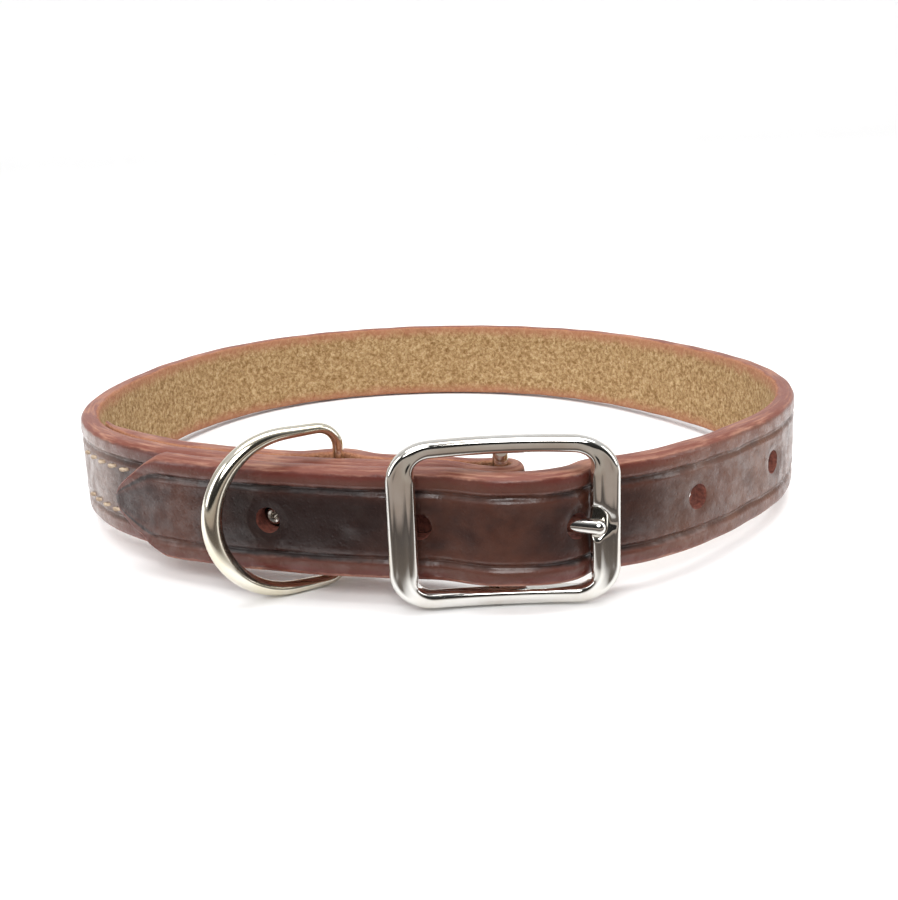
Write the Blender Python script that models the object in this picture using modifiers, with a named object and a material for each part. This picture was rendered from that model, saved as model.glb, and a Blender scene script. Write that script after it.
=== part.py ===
# Small dog collar: one leather strap buckled into a loop, with a centre-bar buckle and a D-ring.
# Metres, +Z up, buckle facing -Y. The collar stands on its lower edge with the buckle and the
# D-ring touching the ground, so the front is lifted a little.

import bmesh
import bpy
import numpy as np
from math import atan2, cos, pi, radians, sin, tan
from mathutils import Matrix, Vector

MM = 0.001

# Strap
STRAP_WIDTH = 16.0 * MM
LEATHER = 3.0 * MM            # full thickness
FOLD_LEATHER = 2.0 * MM       # thinned where it wraps the centre bar
SKIVE_LEATHER = 0.8 * MM      # thin end of the turned-back layer
EDGE_ROUND = 1.1 * MM         # burnished edge, grain side
FLESH_ROUND = 0.6 * MM        # edge, flesh side
CREASE_INSET = 3.1 * MM       # creased line, in from the strap's edge
CREASE_WIDTH = 1.1 * MM
CREASE_DEPTH = 0.35 * MM
LOOP_RADIUS = 60.5 * MM       # middle of the leather, before the waves below
TURNBACK_LENGTH = 76.0 * MM   # turned-back layer, from the centre bar to its thin end
SKIVE_LENGTH = 16.0 * MM
TIP_LENGTH = 8.6 * MM         # pointed end
TIP_NOSE = 3.2 * MM           # width of the blunt nose of the point
TIP_TRAVEL = 59.1 * MM        # centre bar to the nose, along the loop
CLEARANCE = 0.3 * MM          # gap between pieces and between layers

# How the worn leather lies off a true circle: waves round the loop, and each wave's share of the
# loop radius along the front-back line and across it.
LOOP_WAVES = [
    (2, -0.012, 0.037),
    (3, -0.030, -0.001),
    (4, -0.006, 0.007),
    (5, 0.007, 0.005),
]

# Punched holes
HOLE_PITCH = 22.0 * MM
HOLE_DIAMETER = 3.8 * MM
HOLES_BEFORE_PRONG = 2        # free holes between the prong's hole and the loop's side
HOLES_AFTER_PRONG = 2         # holes between the prong's hole and the pointed end

# Buckle
BUCKLE_TURN = radians(9.4)    # centre bar's place round the loop, from the front towards +X
BUCKLE_LENGTH = 31.8 * MM
BUCKLE_HEIGHT = 23.4 * MM
END_BAR = 4.1 * MM
RAIL = 2.3 * MM
FRAME_DEPTH = 2.6 * MM
FRAME_BOW = 1.4 * MM          # how far the rails' middles stand back from the end bars
FRAME_CORNER = 4.1 * MM       # radius of the frame's middle line at its corners
RAIL_BOW = 0.35 * MM          # how far the rails swell outwards in their middle
CENTRE_BAR_RADIUS = 1.1 * MM
CENTRE_BAR_OUT = 1.3 * MM     # centre bar's axis, outwards from the middle of the strap
BAR_STANDOFF = 0.90 * MM      # end bars' inner edges, clear of the belt under them
BUCKLE_LIFT = 0.6 * MM        # the buckle rides up on the strap, because it stands on the ground

# Prong
PRONG_RADIUS = 1.1 * MM
PRONG_REACH = 15.0 * MM       # centre bar's axis to the rounded tip
PRONG_EYE_WALL = 1.2 * MM
PRONG_EYE_WIDTH = 2.6 * MM
SLOT_WIDTH = 3.4 * MM         # slot through the fold for the prong
SEAT_RADIUS = 2.5 * MM        # scooped seat in the end bar

# D-ring
RING_TRAVEL = 24.1 * MM       # centre bar to the ring's straight side, along the loop
RING_RADIUS = 11.5 * MM       # middle of the wire, round the bow
RING_LEG = 8.0 * MM           # straight side to the centre of the bow
RING_CORNER = 3.2 * MM
RING_WIRE = 1.5 * MM          # straight side and legs, across in the plane of the ring
RING_BAND = 2.2 * MM          # straight side and legs, across square to the ring
BOW_WIRE = 2.9 * MM           # middle of the bow, in the plane of the ring
BOW_BAND = 3.2 * MM           # middle of the bow, square to the ring
RING_SWING = radians(44.2)    # ring's plane, from the strap's surface
RING_LIFT = 0.9 * MM

# Rivets
RIVET_SHANK = 2.4 * MM
RIVET_HEAD = 6.4 * MM
RIVET_CAP = 1.0 * MM
RIVET_SUNK = 0.85 * MM        # depth of the seat pressed into the leather under each head
FRONT_RIVET_TRAVEL = 18.8 * MM    # centre bar to the front rivet, along the loop

BUCKLE_HALF = BUCKLE_LENGTH / 2
END_BAR_AT = BUCKLE_HALF - END_BAR / 2
END_BAR_INNER = END_BAR_AT - END_BAR / 2
LAYER_STEP = LEATHER + CLEARANCE
EYE_INNER = CENTRE_BAR_RADIUS + CLEARANCE
FOLD_MIDDLE = CENTRE_BAR_RADIUS + CLEARANCE + FOLD_LEATHER / 2
FOLD_OUTER = FOLD_MIDDLE + FOLD_LEATHER / 2
RING_POCKET = RING_BAND / 2 + CLEARANCE
RING_IN = LEATHER / 2 + RING_POCKET
UNDER_BAR = LAYER_STEP - 0.4 * CLEARANCE
PRONG_HOLE_AT = 0.575 * PRONG_REACH


def loop_radius(turn):
    radius = np.full_like(turn, LOOP_RADIUS)
    for waves, along, across in LOOP_WAVES:
        radius = radius + LOOP_RADIUS * (along * np.cos(waves * turn) + across * np.sin(waves * turn))
    return radius


def loop_table():
    # Distance along the loop against turn, over three turns, with zero at the centre bar.
    turn = np.linspace(-3 * pi, 3 * pi, 6001)
    radius = loop_radius(turn)
    x = radius * np.sin(turn)
    y = -radius * np.cos(turn)
    length = np.concatenate([[0.0], np.cumsum(np.hypot(np.diff(x), np.diff(y)))])
    return turn, length - np.interp(BUCKLE_TURN, turn, length)


LOOP_TURNS, LOOP_TRAVEL = loop_table()
LOOP_LENGTH = float(np.interp(pi, LOOP_TURNS, LOOP_TRAVEL) - np.interp(-pi, LOOP_TURNS, LOOP_TRAVEL))


def loop_frame(travel):
    # Point on the middle of the single strap, with the unit vectors along the loop and outwards.
    travel = np.asarray(travel, dtype=float)
    turn = np.interp((travel + LOOP_LENGTH / 2) % LOOP_LENGTH - LOOP_LENGTH / 2, LOOP_TRAVEL, LOOP_TURNS)
    step = 0.002
    place = [loop_radius(turn + d)[..., None] * np.stack([np.sin(turn + d), -np.cos(turn + d)], -1)
             for d in (-step, 0.0, step)]
    along = place[2] - place[0]
    along = along / np.linalg.norm(along, axis=-1, keepdims=True)
    outward = np.stack([along[..., 1], -along[..., 0]], -1)
    return place[1], along, outward


def loop_fall(travel):
    # How far the loop curves back from its tangent at the centre bar.
    middle, _, outward = loop_frame(0.0)
    return float((middle - loop_frame(travel)[0]) @ outward)


BAR_MIDDLE_OUT = LAYER_STEP + LEATHER / 2 + BAR_STANDOFF + FRAME_DEPTH / 2 - loop_fall(END_BAR_INNER)
RAIL_MIDDLE_OUT = BAR_MIDDLE_OUT - FRAME_BOW
PRONG_SLOPE = atan2(BAR_MIDDLE_OUT - CENTRE_BAR_OUT + 0.3 * FRAME_DEPTH, END_BAR_INNER)


def ease(value, start, end):
    share = np.clip((np.asarray(value, dtype=float) - start) / (end - start), 0.0, 1.0)
    return share * share * (3.0 - 2.0 * share)


def through(rows, value):
    # Smooth curve through the rows that never overshoots them.
    x = np.array([row[0] for row in rows])
    y = np.array([row[1] for row in rows])
    slope = np.diff(y) / np.diff(x)
    tangent = np.zeros_like(y)
    same = slope[1:] * slope[:-1] > 0
    inner = 2 * slope[1:] * slope[:-1] / np.where(same, slope[1:] + slope[:-1], 1.0)
    tangent[1:-1] = np.where(same, inner, 0.0)
    value = np.clip(value, x[0], x[-1])
    cell = np.clip(np.searchsorted(x, value) - 1, 0, len(x) - 2)
    width = x[cell + 1] - x[cell]
    t = (value - x[cell]) / width
    return ((1 + 2 * t) * (1 - t) ** 2 * y[cell] + t * (1 - t) ** 2 * width * tangent[cell]
            + t * t * (3 - 2 * t) * y[cell + 1] + t * t * (t - 1) * width * tangent[cell + 1])


def fold_leather(travel):
    return FOLD_LEATHER + (LEATHER - FOLD_LEATHER) * ease(-travel, 0.3 * BUCKLE_HALF, 0.9 * BUCKLE_HALF)


def main_out(travel):
    # Middle layer: on the loop, then outwards to wrap the centre bar.
    at_bar = CENTRE_BAR_OUT + FOLD_MIDDLE
    return at_bar * (1.0 - ease(-travel, 0.0, 0.5 * BUCKLE_HALF))


def turnback_leather(travel):
    left = TURNBACK_LENGTH + travel
    skive = SKIVE_LEATHER + (LEATHER - SKIVE_LEATHER) * ease(left, 0.0, SKIVE_LENGTH)
    return np.minimum(fold_leather(travel), skive)


def turnback_out(travel):
    # Inner layer: against the middle one, parted by the centre bar and by the ring's straight side.
    slope = (main_out(travel + 0.1 * MM) - main_out(travel - 0.1 * MM)) / (0.2 * MM)
    touching = (fold_leather(travel) + turnback_leather(travel)) / 2 + CLEARANCE
    touching = touching * np.sqrt(1.0 + slope ** 2)
    at_bar = 2 * FOLD_MIDDLE
    near_bar = 1.0 - ease(-travel, 0.0, 0.36 * BUCKLE_HALF)
    reach = np.clip(np.abs(travel + RING_TRAVEL) / (4.6 * RING_POCKET), 0.0, 1.0)
    at_ring = (2 * RING_POCKET - CLEARANCE) * np.cos(reach * pi / 2) ** 2
    return main_out(travel) - touching - (at_bar - touching) * near_bar - at_ring


def belt_rows():
    # Outer layer: place along the loop from the centre bar, and distance outwards of its middle.
    over_fold = CENTRE_BAR_OUT + FOLD_OUTER + CLEARANCE + LEATHER / 2
    at_hole = CENTRE_BAR_OUT + PRONG_HOLE_AT * tan(PRONG_SLOPE) + loop_fall(PRONG_HOLE_AT)
    return [
        (-END_BAR_INNER, LAYER_STEP),
        (-0.60 * END_BAR_AT, LAYER_STEP + 0.1 * FOLD_LEATHER),
        (-0.02 * END_BAR_AT, over_fold),
        (0.32 * END_BAR_AT, over_fold + CLEARANCE),
        (PRONG_HOLE_AT, at_hole),
        (END_BAR_INNER, UNDER_BAR),
        (1.20 * END_BAR_AT, UNDER_BAR),
        (2.10 * END_BAR_AT, 0.5 * LAYER_STEP),
        (3.20 * END_BAR_AT, 0.0),
    ]


def strap_half_width(from_nose):
    # Half width of the pointed end: straight flanks with a blunt, rounded nose.
    nose = TIP_NOSE / 2
    flank = nose + (STRAP_WIDTH / 2 - nose) * np.clip(from_nose / TIP_LENGTH, 0.0, 1.0) ** 0.92
    return flank * (0.8 + 0.2 * np.clip(from_nose / (0.08 * TIP_LENGTH), 0.0, 1.0))


def strap_rows():
    # Stations from the thin inner end, round the centre bar, once round the loop, to the point.
    place, leather, half_width = [], [], []

    inner = np.concatenate([
        np.linspace(-TURNBACK_LENGTH, -1.5 * RING_TRAVEL, 11)[:-1],
        np.linspace(-1.5 * RING_TRAVEL, -BUCKLE_HALF, 13)[:-1],
        np.linspace(-BUCKLE_HALF, 0.0, 10)[:-1],
    ])
    middle, _, outward = loop_frame(inner)
    place.append(middle + turnback_out(inner)[:, None] * outward)
    leather.append(turnback_leather(inner))
    half_width.append(np.full(len(inner), STRAP_WIDTH / 2))

    middle, along, outward = loop_frame(0.0)
    angle = np.linspace(-pi / 2, pi / 2, 9)[:, None]
    centre = middle + CENTRE_BAR_OUT * outward
    place.append(centre + FOLD_MIDDLE * (np.cos(angle) * along + np.sin(angle) * outward))
    leather.append(np.full(len(angle), FOLD_LEATHER))
    half_width.append(np.full(len(angle), STRAP_WIDTH / 2))

    outer = np.concatenate([
        np.linspace(0.0, -BUCKLE_HALF, 11)[1:],
        np.linspace(-BUCKLE_HALF, -LOOP_LENGTH + 3.4 * END_BAR_AT, 58)[1:],
        np.linspace(3.4 * END_BAR_AT, 1.3 * END_BAR_AT, 9)[1:] - LOOP_LENGTH,
        np.linspace(1.3 * END_BAR_AT, -1.0 * END_BAR_AT, 24)[1:] - LOOP_LENGTH,
        np.linspace(-1.0 * END_BAR_AT, -TIP_TRAVEL + TIP_LENGTH, 11)[1:] - LOOP_LENGTH,
        TIP_LENGTH * np.array([0.8, 0.6, 0.4, 0.2, 0.07, 0.0]) - TIP_TRAVEL - LOOP_LENGTH,
    ])
    belt = outer < -LOOP_LENGTH / 2
    travel = np.where(belt, outer + LOOP_LENGTH, outer)
    out = np.where(belt, through(belt_rows(), travel), main_out(np.where(belt, -1.0, travel)))
    middle, _, outward = loop_frame(travel)
    place.append(middle + out[:, None] * outward)
    leather.append(np.where(belt, LEATHER, fold_leather(np.where(belt, -1.0, travel))))
    from_nose = np.where(belt, travel + TIP_TRAVEL, TIP_LENGTH)
    half_width.append(strap_half_width(from_nose))
    return np.concatenate(place), np.concatenate(leather), np.concatenate(half_width)


def strap_section(leather):
    # Half outline from the grain side's middle to the flesh side: across the width, and out.
    grain = leather / 2
    thin = leather / LEATHER
    edge = STRAP_WIDTH / 2
    crease = edge - CREASE_INSET
    points = [
        (crease - CREASE_WIDTH / 2, grain),
        (crease, grain - CREASE_DEPTH * thin),
        (crease + CREASE_WIDTH / 2, grain),
    ]
    for step in range(4):
        angle = step / 3 * pi / 2
        points.append((edge - EDGE_ROUND + EDGE_ROUND * sin(angle),
                       grain - EDGE_ROUND * thin * (1 - cos(angle))))
    points.append((edge, -grain + FLESH_ROUND * thin))
    points.append((edge - FLESH_ROUND, -grain))
    upper = np.array(points)
    lower = upper[::-1] * [-1, 1]
    return np.concatenate([upper, lower])


def loft(name, rings, closed):
    # Skin of quads over rings of the same number of points, capped unless the rings close up.
    mesh = bpy.data.meshes.new(name)
    count, around = len(rings), len(rings[0])
    corners = np.concatenate(rings)
    last = count if closed else count - 1
    faces = []
    for row in range(last):
        for column in range(around):
            beside = (column + 1) % around
            above = (row + 1) % count
            faces.append((row * around + column, row * around + beside,
                          above * around + beside, above * around + column))
    if not closed:
        faces.append(tuple(range(around))[::-1])
        faces.append(tuple(range((count - 1) * around, count * around)))
    mesh.from_pydata(corners.tolist(), [], faces)
    work = bmesh.new()
    work.from_mesh(mesh)
    bmesh.ops.recalc_face_normals(work, faces=work.faces)
    work.to_mesh(mesh)
    work.free()
    return bpy.data.objects.new(name, mesh)


def finish(piece, collection, rest, material=None):
    collection.objects.link(piece)
    piece.parent = rest
    if material:
        piece.data.materials.append(material)
        piece.data.shade_smooth()
        piece.data.set_sharp_from_angle(angle=radians(35))
    else:
        piece.hide_render = True
        piece.display_type = 'WIRE'
    return piece


def boolean(piece, cutter, operation='DIFFERENCE'):
    modifier = piece.modifiers.new(cutter.name, 'BOOLEAN')
    modifier.object = cutter
    modifier.operation = operation
    modifier.solver = 'EXACT'


def turned(name, profile, steps, closed=False):
    # Profile of (radius, height) about local Z, running down its outer side.
    mesh = bpy.data.meshes.new(name)
    count = len(profile)
    edges = [(i, (i + 1) % count) for i in range(count if closed else count - 1)]
    mesh.from_pydata([(radius, 0.0, height) for radius, height in profile], edges, [])
    piece = bpy.data.objects.new(name, mesh)
    screw = piece.modifiers.new('Turned', 'SCREW')
    screw.steps = steps
    screw.render_steps = steps
    screw.use_merge_vertices = True
    screw.merge_threshold = 0.00001
    return piece


def rod_profile(radius, low, high):
    return [(0.0, high), (radius, high), (radius, low), (0.0, low)]


def placed(travel, out, height, axis):
    # Frame at a place on the loop whose local Z is the given (along, outward, up) direction.
    middle, along, outward = loop_frame(travel)
    right = Vector((along[0], along[1], 0.0))
    front = Vector((outward[0], outward[1], 0.0))
    up = Vector((0.0, 0.0, 1.0))
    z = (right * axis[0] + front * axis[1] + up * axis[2]).normalized()
    side = up if abs(z.dot(up)) < 0.9 else right
    x = side.cross(z).normalized()
    y = z.cross(x)
    place = Vector((middle[0], middle[1], 0.0)) + front * out + up * height
    return Matrix((x, y, z)).transposed().to_4x4(), place


def set_place(piece, travel, out, height, axis):
    turn, place = placed(travel, out, height, axis)
    piece.matrix_basis = Matrix.Translation(place) @ turn
    return piece


def material(name, color, metallic, roughness):
    result = bpy.data.materials.new(name)
    result.use_nodes = True
    shader = result.node_tree.nodes['Principled BSDF']
    shader.inputs['Base Color'].default_value = (*color, 1.0)
    shader.inputs['Metallic'].default_value = metallic
    shader.inputs['Roughness'].default_value = roughness
    result.diffuse_color = (*color, 1.0)
    return result


def belt_travel(distance):
    # Place along the loop of a point on the outer layer, by distance along it from the prong's hole.
    travel = np.linspace(-TIP_TRAVEL, 0.4 * LOOP_LENGTH, 4001)
    middle, _, outward = loop_frame(travel)
    line = middle + through(belt_rows(), travel)[:, None] * outward
    length = np.concatenate([[0.0], np.cumsum(np.hypot(*np.diff(line, axis=0).T))])
    length = length - np.interp(PRONG_HOLE_AT, travel, length)
    return float(np.interp(distance, length, travel))


def belt_slope(travel):
    step = 0.2 * MM
    rows = belt_rows()
    return float((through(rows, travel + step) - through(rows, travel - step)) / (2 * step))


def strap(collection, rest):
    place, leather, half_width = strap_rows()
    along = np.gradient(place, axis=0)
    along = along / np.linalg.norm(along, axis=1, keepdims=True)
    grain = np.stack([-along[:, 1], along[:, 0]], -1)
    rings = []
    for spot, side, thick, half in zip(place, grain, leather, half_width):
        section = strap_section(thick)
        height = section[:, 0] * half / (STRAP_WIDTH / 2)
        plan = spot + section[:, 1:] * side
        rings.append(np.column_stack([plan, height]))
    piece = loft('strap', rings, closed=False)
    finish(piece, collection, rest, material('burgundy_leather', (0.11, 0.025, 0.022), 0.0, 0.38))
    return piece


def cut_slot(piece, cutters, rest):
    slot = turned('slot_cutter', rod_profile(FOLD_OUTER + CLEARANCE / 2, -SLOT_WIDTH / 2, SLOT_WIDTH / 2), 32)
    finish(set_place(slot, 0.0, CENTRE_BAR_OUT, 0.0, (0, 0, 1)), cutters, rest)
    boolean(piece, slot)


def punch_holes(piece, cutters, rest):
    reach = LEATHER / 2 + CLEARANCE / 2
    for number in range(-HOLES_AFTER_PRONG, HOLES_BEFORE_PRONG + 1):
        travel = belt_travel(number * HOLE_PITCH)
        profile = rod_profile(HOLE_DIAMETER / 2, -reach, reach)
        cutter = turned(f'hole_cutter_{number + HOLES_AFTER_PRONG + 1}', profile, 24)
        out = float(through(belt_rows(), travel))
        set_place(cutter, travel, out, 0.0, (-belt_slope(travel), 1.0, 0.0))
        finish(cutter, cutters, rest)
        boolean(piece, cutter)
    # The prong's slant wears its own hole long.
    profile = rod_profile(PRONG_RADIUS + CLEARANCE, 0.38 * PRONG_REACH, PRONG_REACH)
    wear = turned('prong_wear_cutter', profile, 20)
    set_place(wear, 0.0, CENTRE_BAR_OUT, 0.0, (cos(PRONG_SLOPE), sin(PRONG_SLOPE), 0.0))
    finish(wear, cutters, rest)
    boolean(piece, wear)


def frame_outline(steps_side, steps_end, steps_corner):
    # Middle line of the buckle's frame: (along, up) with its outward unit vector, anticlockwise.
    a = END_BAR_AT - FRAME_CORNER
    b = BUCKLE_HEIGHT / 2 - RAIL / 2 - FRAME_CORNER
    corners = [(a, b, 0.0), (-a, b, pi / 2), (-a, -b, pi), (a, -b, 1.5 * pi)]
    rows = []
    for index, (x, z, start) in enumerate(corners):
        for step in range(steps_corner + 1):
            angle = start + step / steps_corner * pi / 2
            rows.append((x + FRAME_CORNER * cos(angle), z + FRAME_CORNER * sin(angle), cos(angle), sin(angle)))
        after = corners[(index + 1) % 4]
        steps = steps_side if index % 2 == 0 else steps_end
        angle = start + pi / 2
        for step in range(1, steps):
            share = step / steps
            rows.append((x + (after[0] - x) * share + FRAME_CORNER * cos(angle),
                         z + (after[1] - z) * share + FRAME_CORNER * sin(angle), cos(angle), sin(angle)))
    return rows


# Frame section: share of its half width outwards in the frame's plane, and of its half depth.
FRAME_SECTION = [
    (-1.00, -0.35), (-0.72, -1.00), (0.72, -1.00), (1.00, -0.35), (1.00, 0.10),
    (0.80, 0.66), (0.34, 1.00), (-0.34, 1.00), (-0.80, 0.66), (-1.00, 0.10),
]


def frame_out(along):
    # The frame is bowed in plan, so that its end bars stand over the strap.
    return RAIL_MIDDLE_OUT + FRAME_BOW * (along / END_BAR_AT) ** 2


def buckle_frame(collection, cutters, rest):
    middle, right, front = loop_frame(0.0)
    rings = []
    for along, up, side_x, side_z in frame_outline(10, 5, 5):
        outer_half = RAIL / 2 + (END_BAR - RAIL) / 2 * side_x ** 2
        # The window keeps squarer corners than the outside, to let the strap's edge through.
        inner_half = RAIL / 2 + (END_BAR - RAIL) / 2 * side_x ** 6
        ring = []
        for across, deep in FRAME_SECTION:
            half_width = outer_half if across > 0 else inner_half
            x = along + side_x * half_width * across
            z = up + side_z * half_width * across
            bow = RAIL_BOW * (1 - min(1.0, (x / BUCKLE_HALF) ** 2)) * z / (BUCKLE_HEIGHT / 2)
            plan = middle + right * x + front * (frame_out(along) + deep * FRAME_DEPTH / 2)
            ring.append((plan[0], plan[1], z + bow + BUCKLE_LIFT))
        rings.append(np.array(ring))
    piece = loft('buckle_frame', rings, closed=True)
    finish(piece, collection, rest, material('bright_nickel', (0.78, 0.77, 0.74), 1.0, 0.12))
    reach = BUCKLE_HEIGHT / 2 - RAIL / 2 + RAIL_BOW / 2
    bar = turned('centre_bar_joiner', rod_profile(CENTRE_BAR_RADIUS, -reach, reach), 16)
    set_place(bar, 0.0, CENTRE_BAR_OUT, BUCKLE_LIFT, (0, 0, 1))
    finish(bar, cutters, rest)
    boolean(piece, bar, 'UNION')
    # Short ears carry the centre bar behind the rails.
    for name, side in (('upper_ear_joiner', 1), ('lower_ear_joiner', -1)):
        profile = rod_profile(CENTRE_BAR_RADIUS, -0.5 * CENTRE_BAR_RADIUS, RAIL_MIDDLE_OUT - CENTRE_BAR_OUT)
        ear = turned(name, profile, 16)
        set_place(ear, 0.0, CENTRE_BAR_OUT, side * reach + BUCKLE_LIFT, (0, 1, 0))
        finish(ear, cutters, rest)
        boolean(piece, ear, 'UNION')
    for name, radius, low, high in (
            ('prong_groove_cutter', PRONG_RADIUS + CLEARANCE, 0.55, 1.02),
            ('prong_seat_cutter', SEAT_RADIUS, 0.86, 1.03)):
        profile = rod_profile(radius, low * PRONG_REACH, high * PRONG_REACH)
        if name == 'prong_seat_cutter':
            rise = SEAT_RADIUS - PRONG_RADIUS
        else:
            rise = 0.0
        cutter = turned(name, profile, 24)
        set_place(cutter, -rise * sin(PRONG_SLOPE), CENTRE_BAR_OUT + rise * cos(PRONG_SLOPE), 0.0,
                  (cos(PRONG_SLOPE), sin(PRONG_SLOPE), 0.0))
        finish(cutter, cutters, rest)
        boolean(piece, cutter)
    return piece


def prong(collection, cutters, rest):
    half = PRONG_EYE_WIDTH / 2
    outer = EYE_INNER + PRONG_EYE_WALL
    profile = [(outer, half), (outer, -half), (EYE_INNER, -half), (EYE_INNER, half)]
    eye = turned('prong', profile, 24, closed=True)
    set_place(eye, 0.0, CENTRE_BAR_OUT, 0.0, (0, 0, 1))
    finish(eye, collection, rest, material('prong_nickel', (0.80, 0.79, 0.76), 1.0, 0.10))
    tip = PRONG_REACH - PRONG_RADIUS
    profile = [(PRONG_RADIUS * cos(a), tip + PRONG_RADIUS * sin(a)) for a in np.linspace(pi / 2, 0.0, 5)]
    profile[0] = (0.0, PRONG_REACH)
    start = EYE_INNER + 0.35 * PRONG_EYE_WALL
    profile += [(PRONG_RADIUS, start), (0.0, start)]
    shank = turned('prong_shank_joiner', profile, 16)
    set_place(shank, 0.0, CENTRE_BAR_OUT, 0.0, (cos(PRONG_SLOPE), sin(PRONG_SLOPE), 0.0))
    finish(shank, cutters, rest)
    boolean(eye, shank, 'UNION')
    return eye


def ring_outline():
    # Middle line of the D in its own plane: away from the straight side, and up.
    low = RING_RADIUS - RING_CORNER
    quarter = []
    for step in range(5):
        angle = step / 4 * pi / 2
        quarter.append((RING_CORNER * (1 - cos(angle)), low + RING_CORNER * sin(angle)))
    bow = []
    for step in range(1, 24):
        angle = pi / 2 - step / 24 * pi
        bow.append((RING_LEG + RING_RADIUS * cos(angle), RING_RADIUS * sin(angle)))
    upper = [(0.0, 0.0), *quarter, (RING_LEG, RING_RADIUS)]
    lower = [(RING_LEG, -RING_RADIUS), *[(out, -up) for out, up in quarter[::-1]]]
    return upper + bow + lower


def bow_share(out):
    # The wire thickens from the legs to the middle of the bow.
    start = 0.3 * RING_LEG
    return np.clip((out - start) / (RING_LEG + RING_RADIUS - start), 0.0, 1.0) ** 1.3


def d_ring(collection, rest):
    # The wire is a round bevelled curve of changing radius, widened square to the ring into an oval.
    curve = bpy.data.curves.new('d_ring_wire', 'CURVE')
    curve.dimensions = '3D'
    curve.bevel_depth = RING_WIRE / 2
    curve.bevel_resolution = 2
    points = ring_outline()
    spline = curve.splines.new('POLY')
    spline.points.add(len(points) - 1)
    for point, (out, up) in zip(spline.points, points):
        point.co = (out, 0.0, up, 1.0)
        point.radius = 1.0 + (BOW_WIRE / RING_WIRE - 1.0) * float(bow_share(out))
    spline.use_cyclic_u = True
    wire = bpy.data.objects.new('d_ring_wire', curve)
    collection.objects.link(wire)
    graph = bpy.context.evaluated_depsgraph_get()
    mesh = bpy.data.meshes.new_from_object(wire.evaluated_get(graph))
    bpy.data.objects.remove(wire)
    mesh.name = 'd_ring'
    corners = np.empty(len(mesh.vertices) * 3)
    mesh.vertices.foreach_get('co', corners)
    corners = corners.reshape(-1, 3)
    leg_share = RING_BAND / RING_WIRE
    corners[:, 1] *= leg_share + (BOW_BAND / BOW_WIRE - leg_share) * bow_share(corners[:, 0])
    mesh.vertices.foreach_set('co', corners.ravel())
    mesh.materials.clear()
    piece = bpy.data.objects.new('d_ring', mesh)
    finish(piece, collection, rest, material('ring_nickel', (0.74, 0.72, 0.66), 1.0, 0.16))
    # Local X leads away from the straight side, local Z up the joint's axis.
    middle, along, outward = loop_frame(-RING_TRAVEL)
    away = -along * cos(RING_SWING) + outward * sin(RING_SWING)
    x = Vector((away[0], away[1], 0.0))
    z = Vector((0.0, 0.0, 1.0))
    place = middle - outward * RING_IN
    turn = Matrix((x, z.cross(x), z)).transposed().to_4x4()
    piece.matrix_basis = Matrix.Translation((place[0], place[1], RING_LIFT)) @ turn
    return piece


def rivet_profile(back, front):
    # Two domed caps on one shank. Heights run outwards through the layers.
    head = RIVET_HEAD / 2
    shank = RIVET_SHANK / 2
    rim = 0.45 * RIVET_CAP
    return [
        (0.0, front), (0.55 * head, front - 0.18 * RIVET_CAP), (head, front - RIVET_CAP + rim),
        (head, front - RIVET_CAP), (shank, front - RIVET_CAP),
        (shank, back + RIVET_CAP), (head, back + RIVET_CAP),
        (head, back + RIVET_CAP - rim), (0.55 * head, back + 0.18 * RIVET_CAP), (0.0, back),
    ]


def rivet(name, travel, piece, collection, cutters, rest):
    # The outer cap lies flush under the belt, the inner cap stands a little proud of the leather.
    front_face = float(main_out(travel) + fold_leather(travel) / 2)
    back_face = float(turnback_out(travel) - turnback_leather(travel) / 2)
    front = front_face - CLEARANCE / 2
    seat = CLEARANCE
    back = back_face + RIVET_SUNK - seat - RIVET_CAP
    shape = turned(name, rivet_profile(back, front), 20)
    set_place(shape, travel, 0.0, 0.0, (0, 1, 0))
    finish(shape, collection, rest, material(name + '_nickel', (0.72, 0.70, 0.65), 1.0, 0.22))
    wide = RIVET_HEAD / 2 + CLEARANCE
    narrow = RIVET_SHANK / 2 + CLEARANCE
    top = front_face + CLEARANCE / 2
    bottom = back_face - LEATHER / 2
    profile = [
        (0.0, top), (wide, top), (wide, front - RIVET_CAP - seat), (narrow, front - RIVET_CAP - seat),
        (narrow, back + RIVET_CAP + seat), (wide, back + RIVET_CAP + seat), (wide, bottom), (0.0, bottom),
    ]
    cutter = turned(name + '_cutter', profile, 20)
    set_place(cutter, travel, 0.0, 0.0, (0, 1, 0))
    finish(cutter, cutters, rest)
    boolean(piece, cutter)
    return shape


def rest_tilt():
    # The buckle's lower rail and the far lower edge of the strap both touch the ground.
    drop = BUCKLE_HEIGHT / 2 + RAIL_BOW - BUCKLE_LIFT
    front = loop_frame(0.0)[0][1] - CENTRE_BAR_OUT
    turns = np.linspace(0.0, 2 * pi, 721)
    back = float(np.max(-loop_radius(turns) * np.cos(turns))) + LEATHER / 2
    return atan2(drop - STRAP_WIDTH / 2, back - front)


def stand(collection, rest):
    # Tilted to lie as it rests, with the middle of its base on the origin.
    rest.rotation_euler.x = -rest_tilt()
    bpy.context.view_layer.update()
    graph = bpy.context.evaluated_depsgraph_get()
    corners = []
    for piece in collection.objects:
        if piece.type != 'MESH':
            continue
        solid = piece.evaluated_get(graph)
        points = np.empty(len(solid.data.vertices) * 3)
        solid.data.vertices.foreach_get('co', points)
        turn = np.array(piece.matrix_world)
        corners.append(points.reshape(-1, 3) @ turn[:3, :3].T + turn[:3, 3])
    corners = np.concatenate(corners)
    low = corners.min(axis=0)
    high = corners.max(axis=0)
    rest.location = (-(low[0] + high[0]) / 2, -(low[1] + high[1]) / 2, -low[2])
    bpy.context.view_layer.update()


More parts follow.
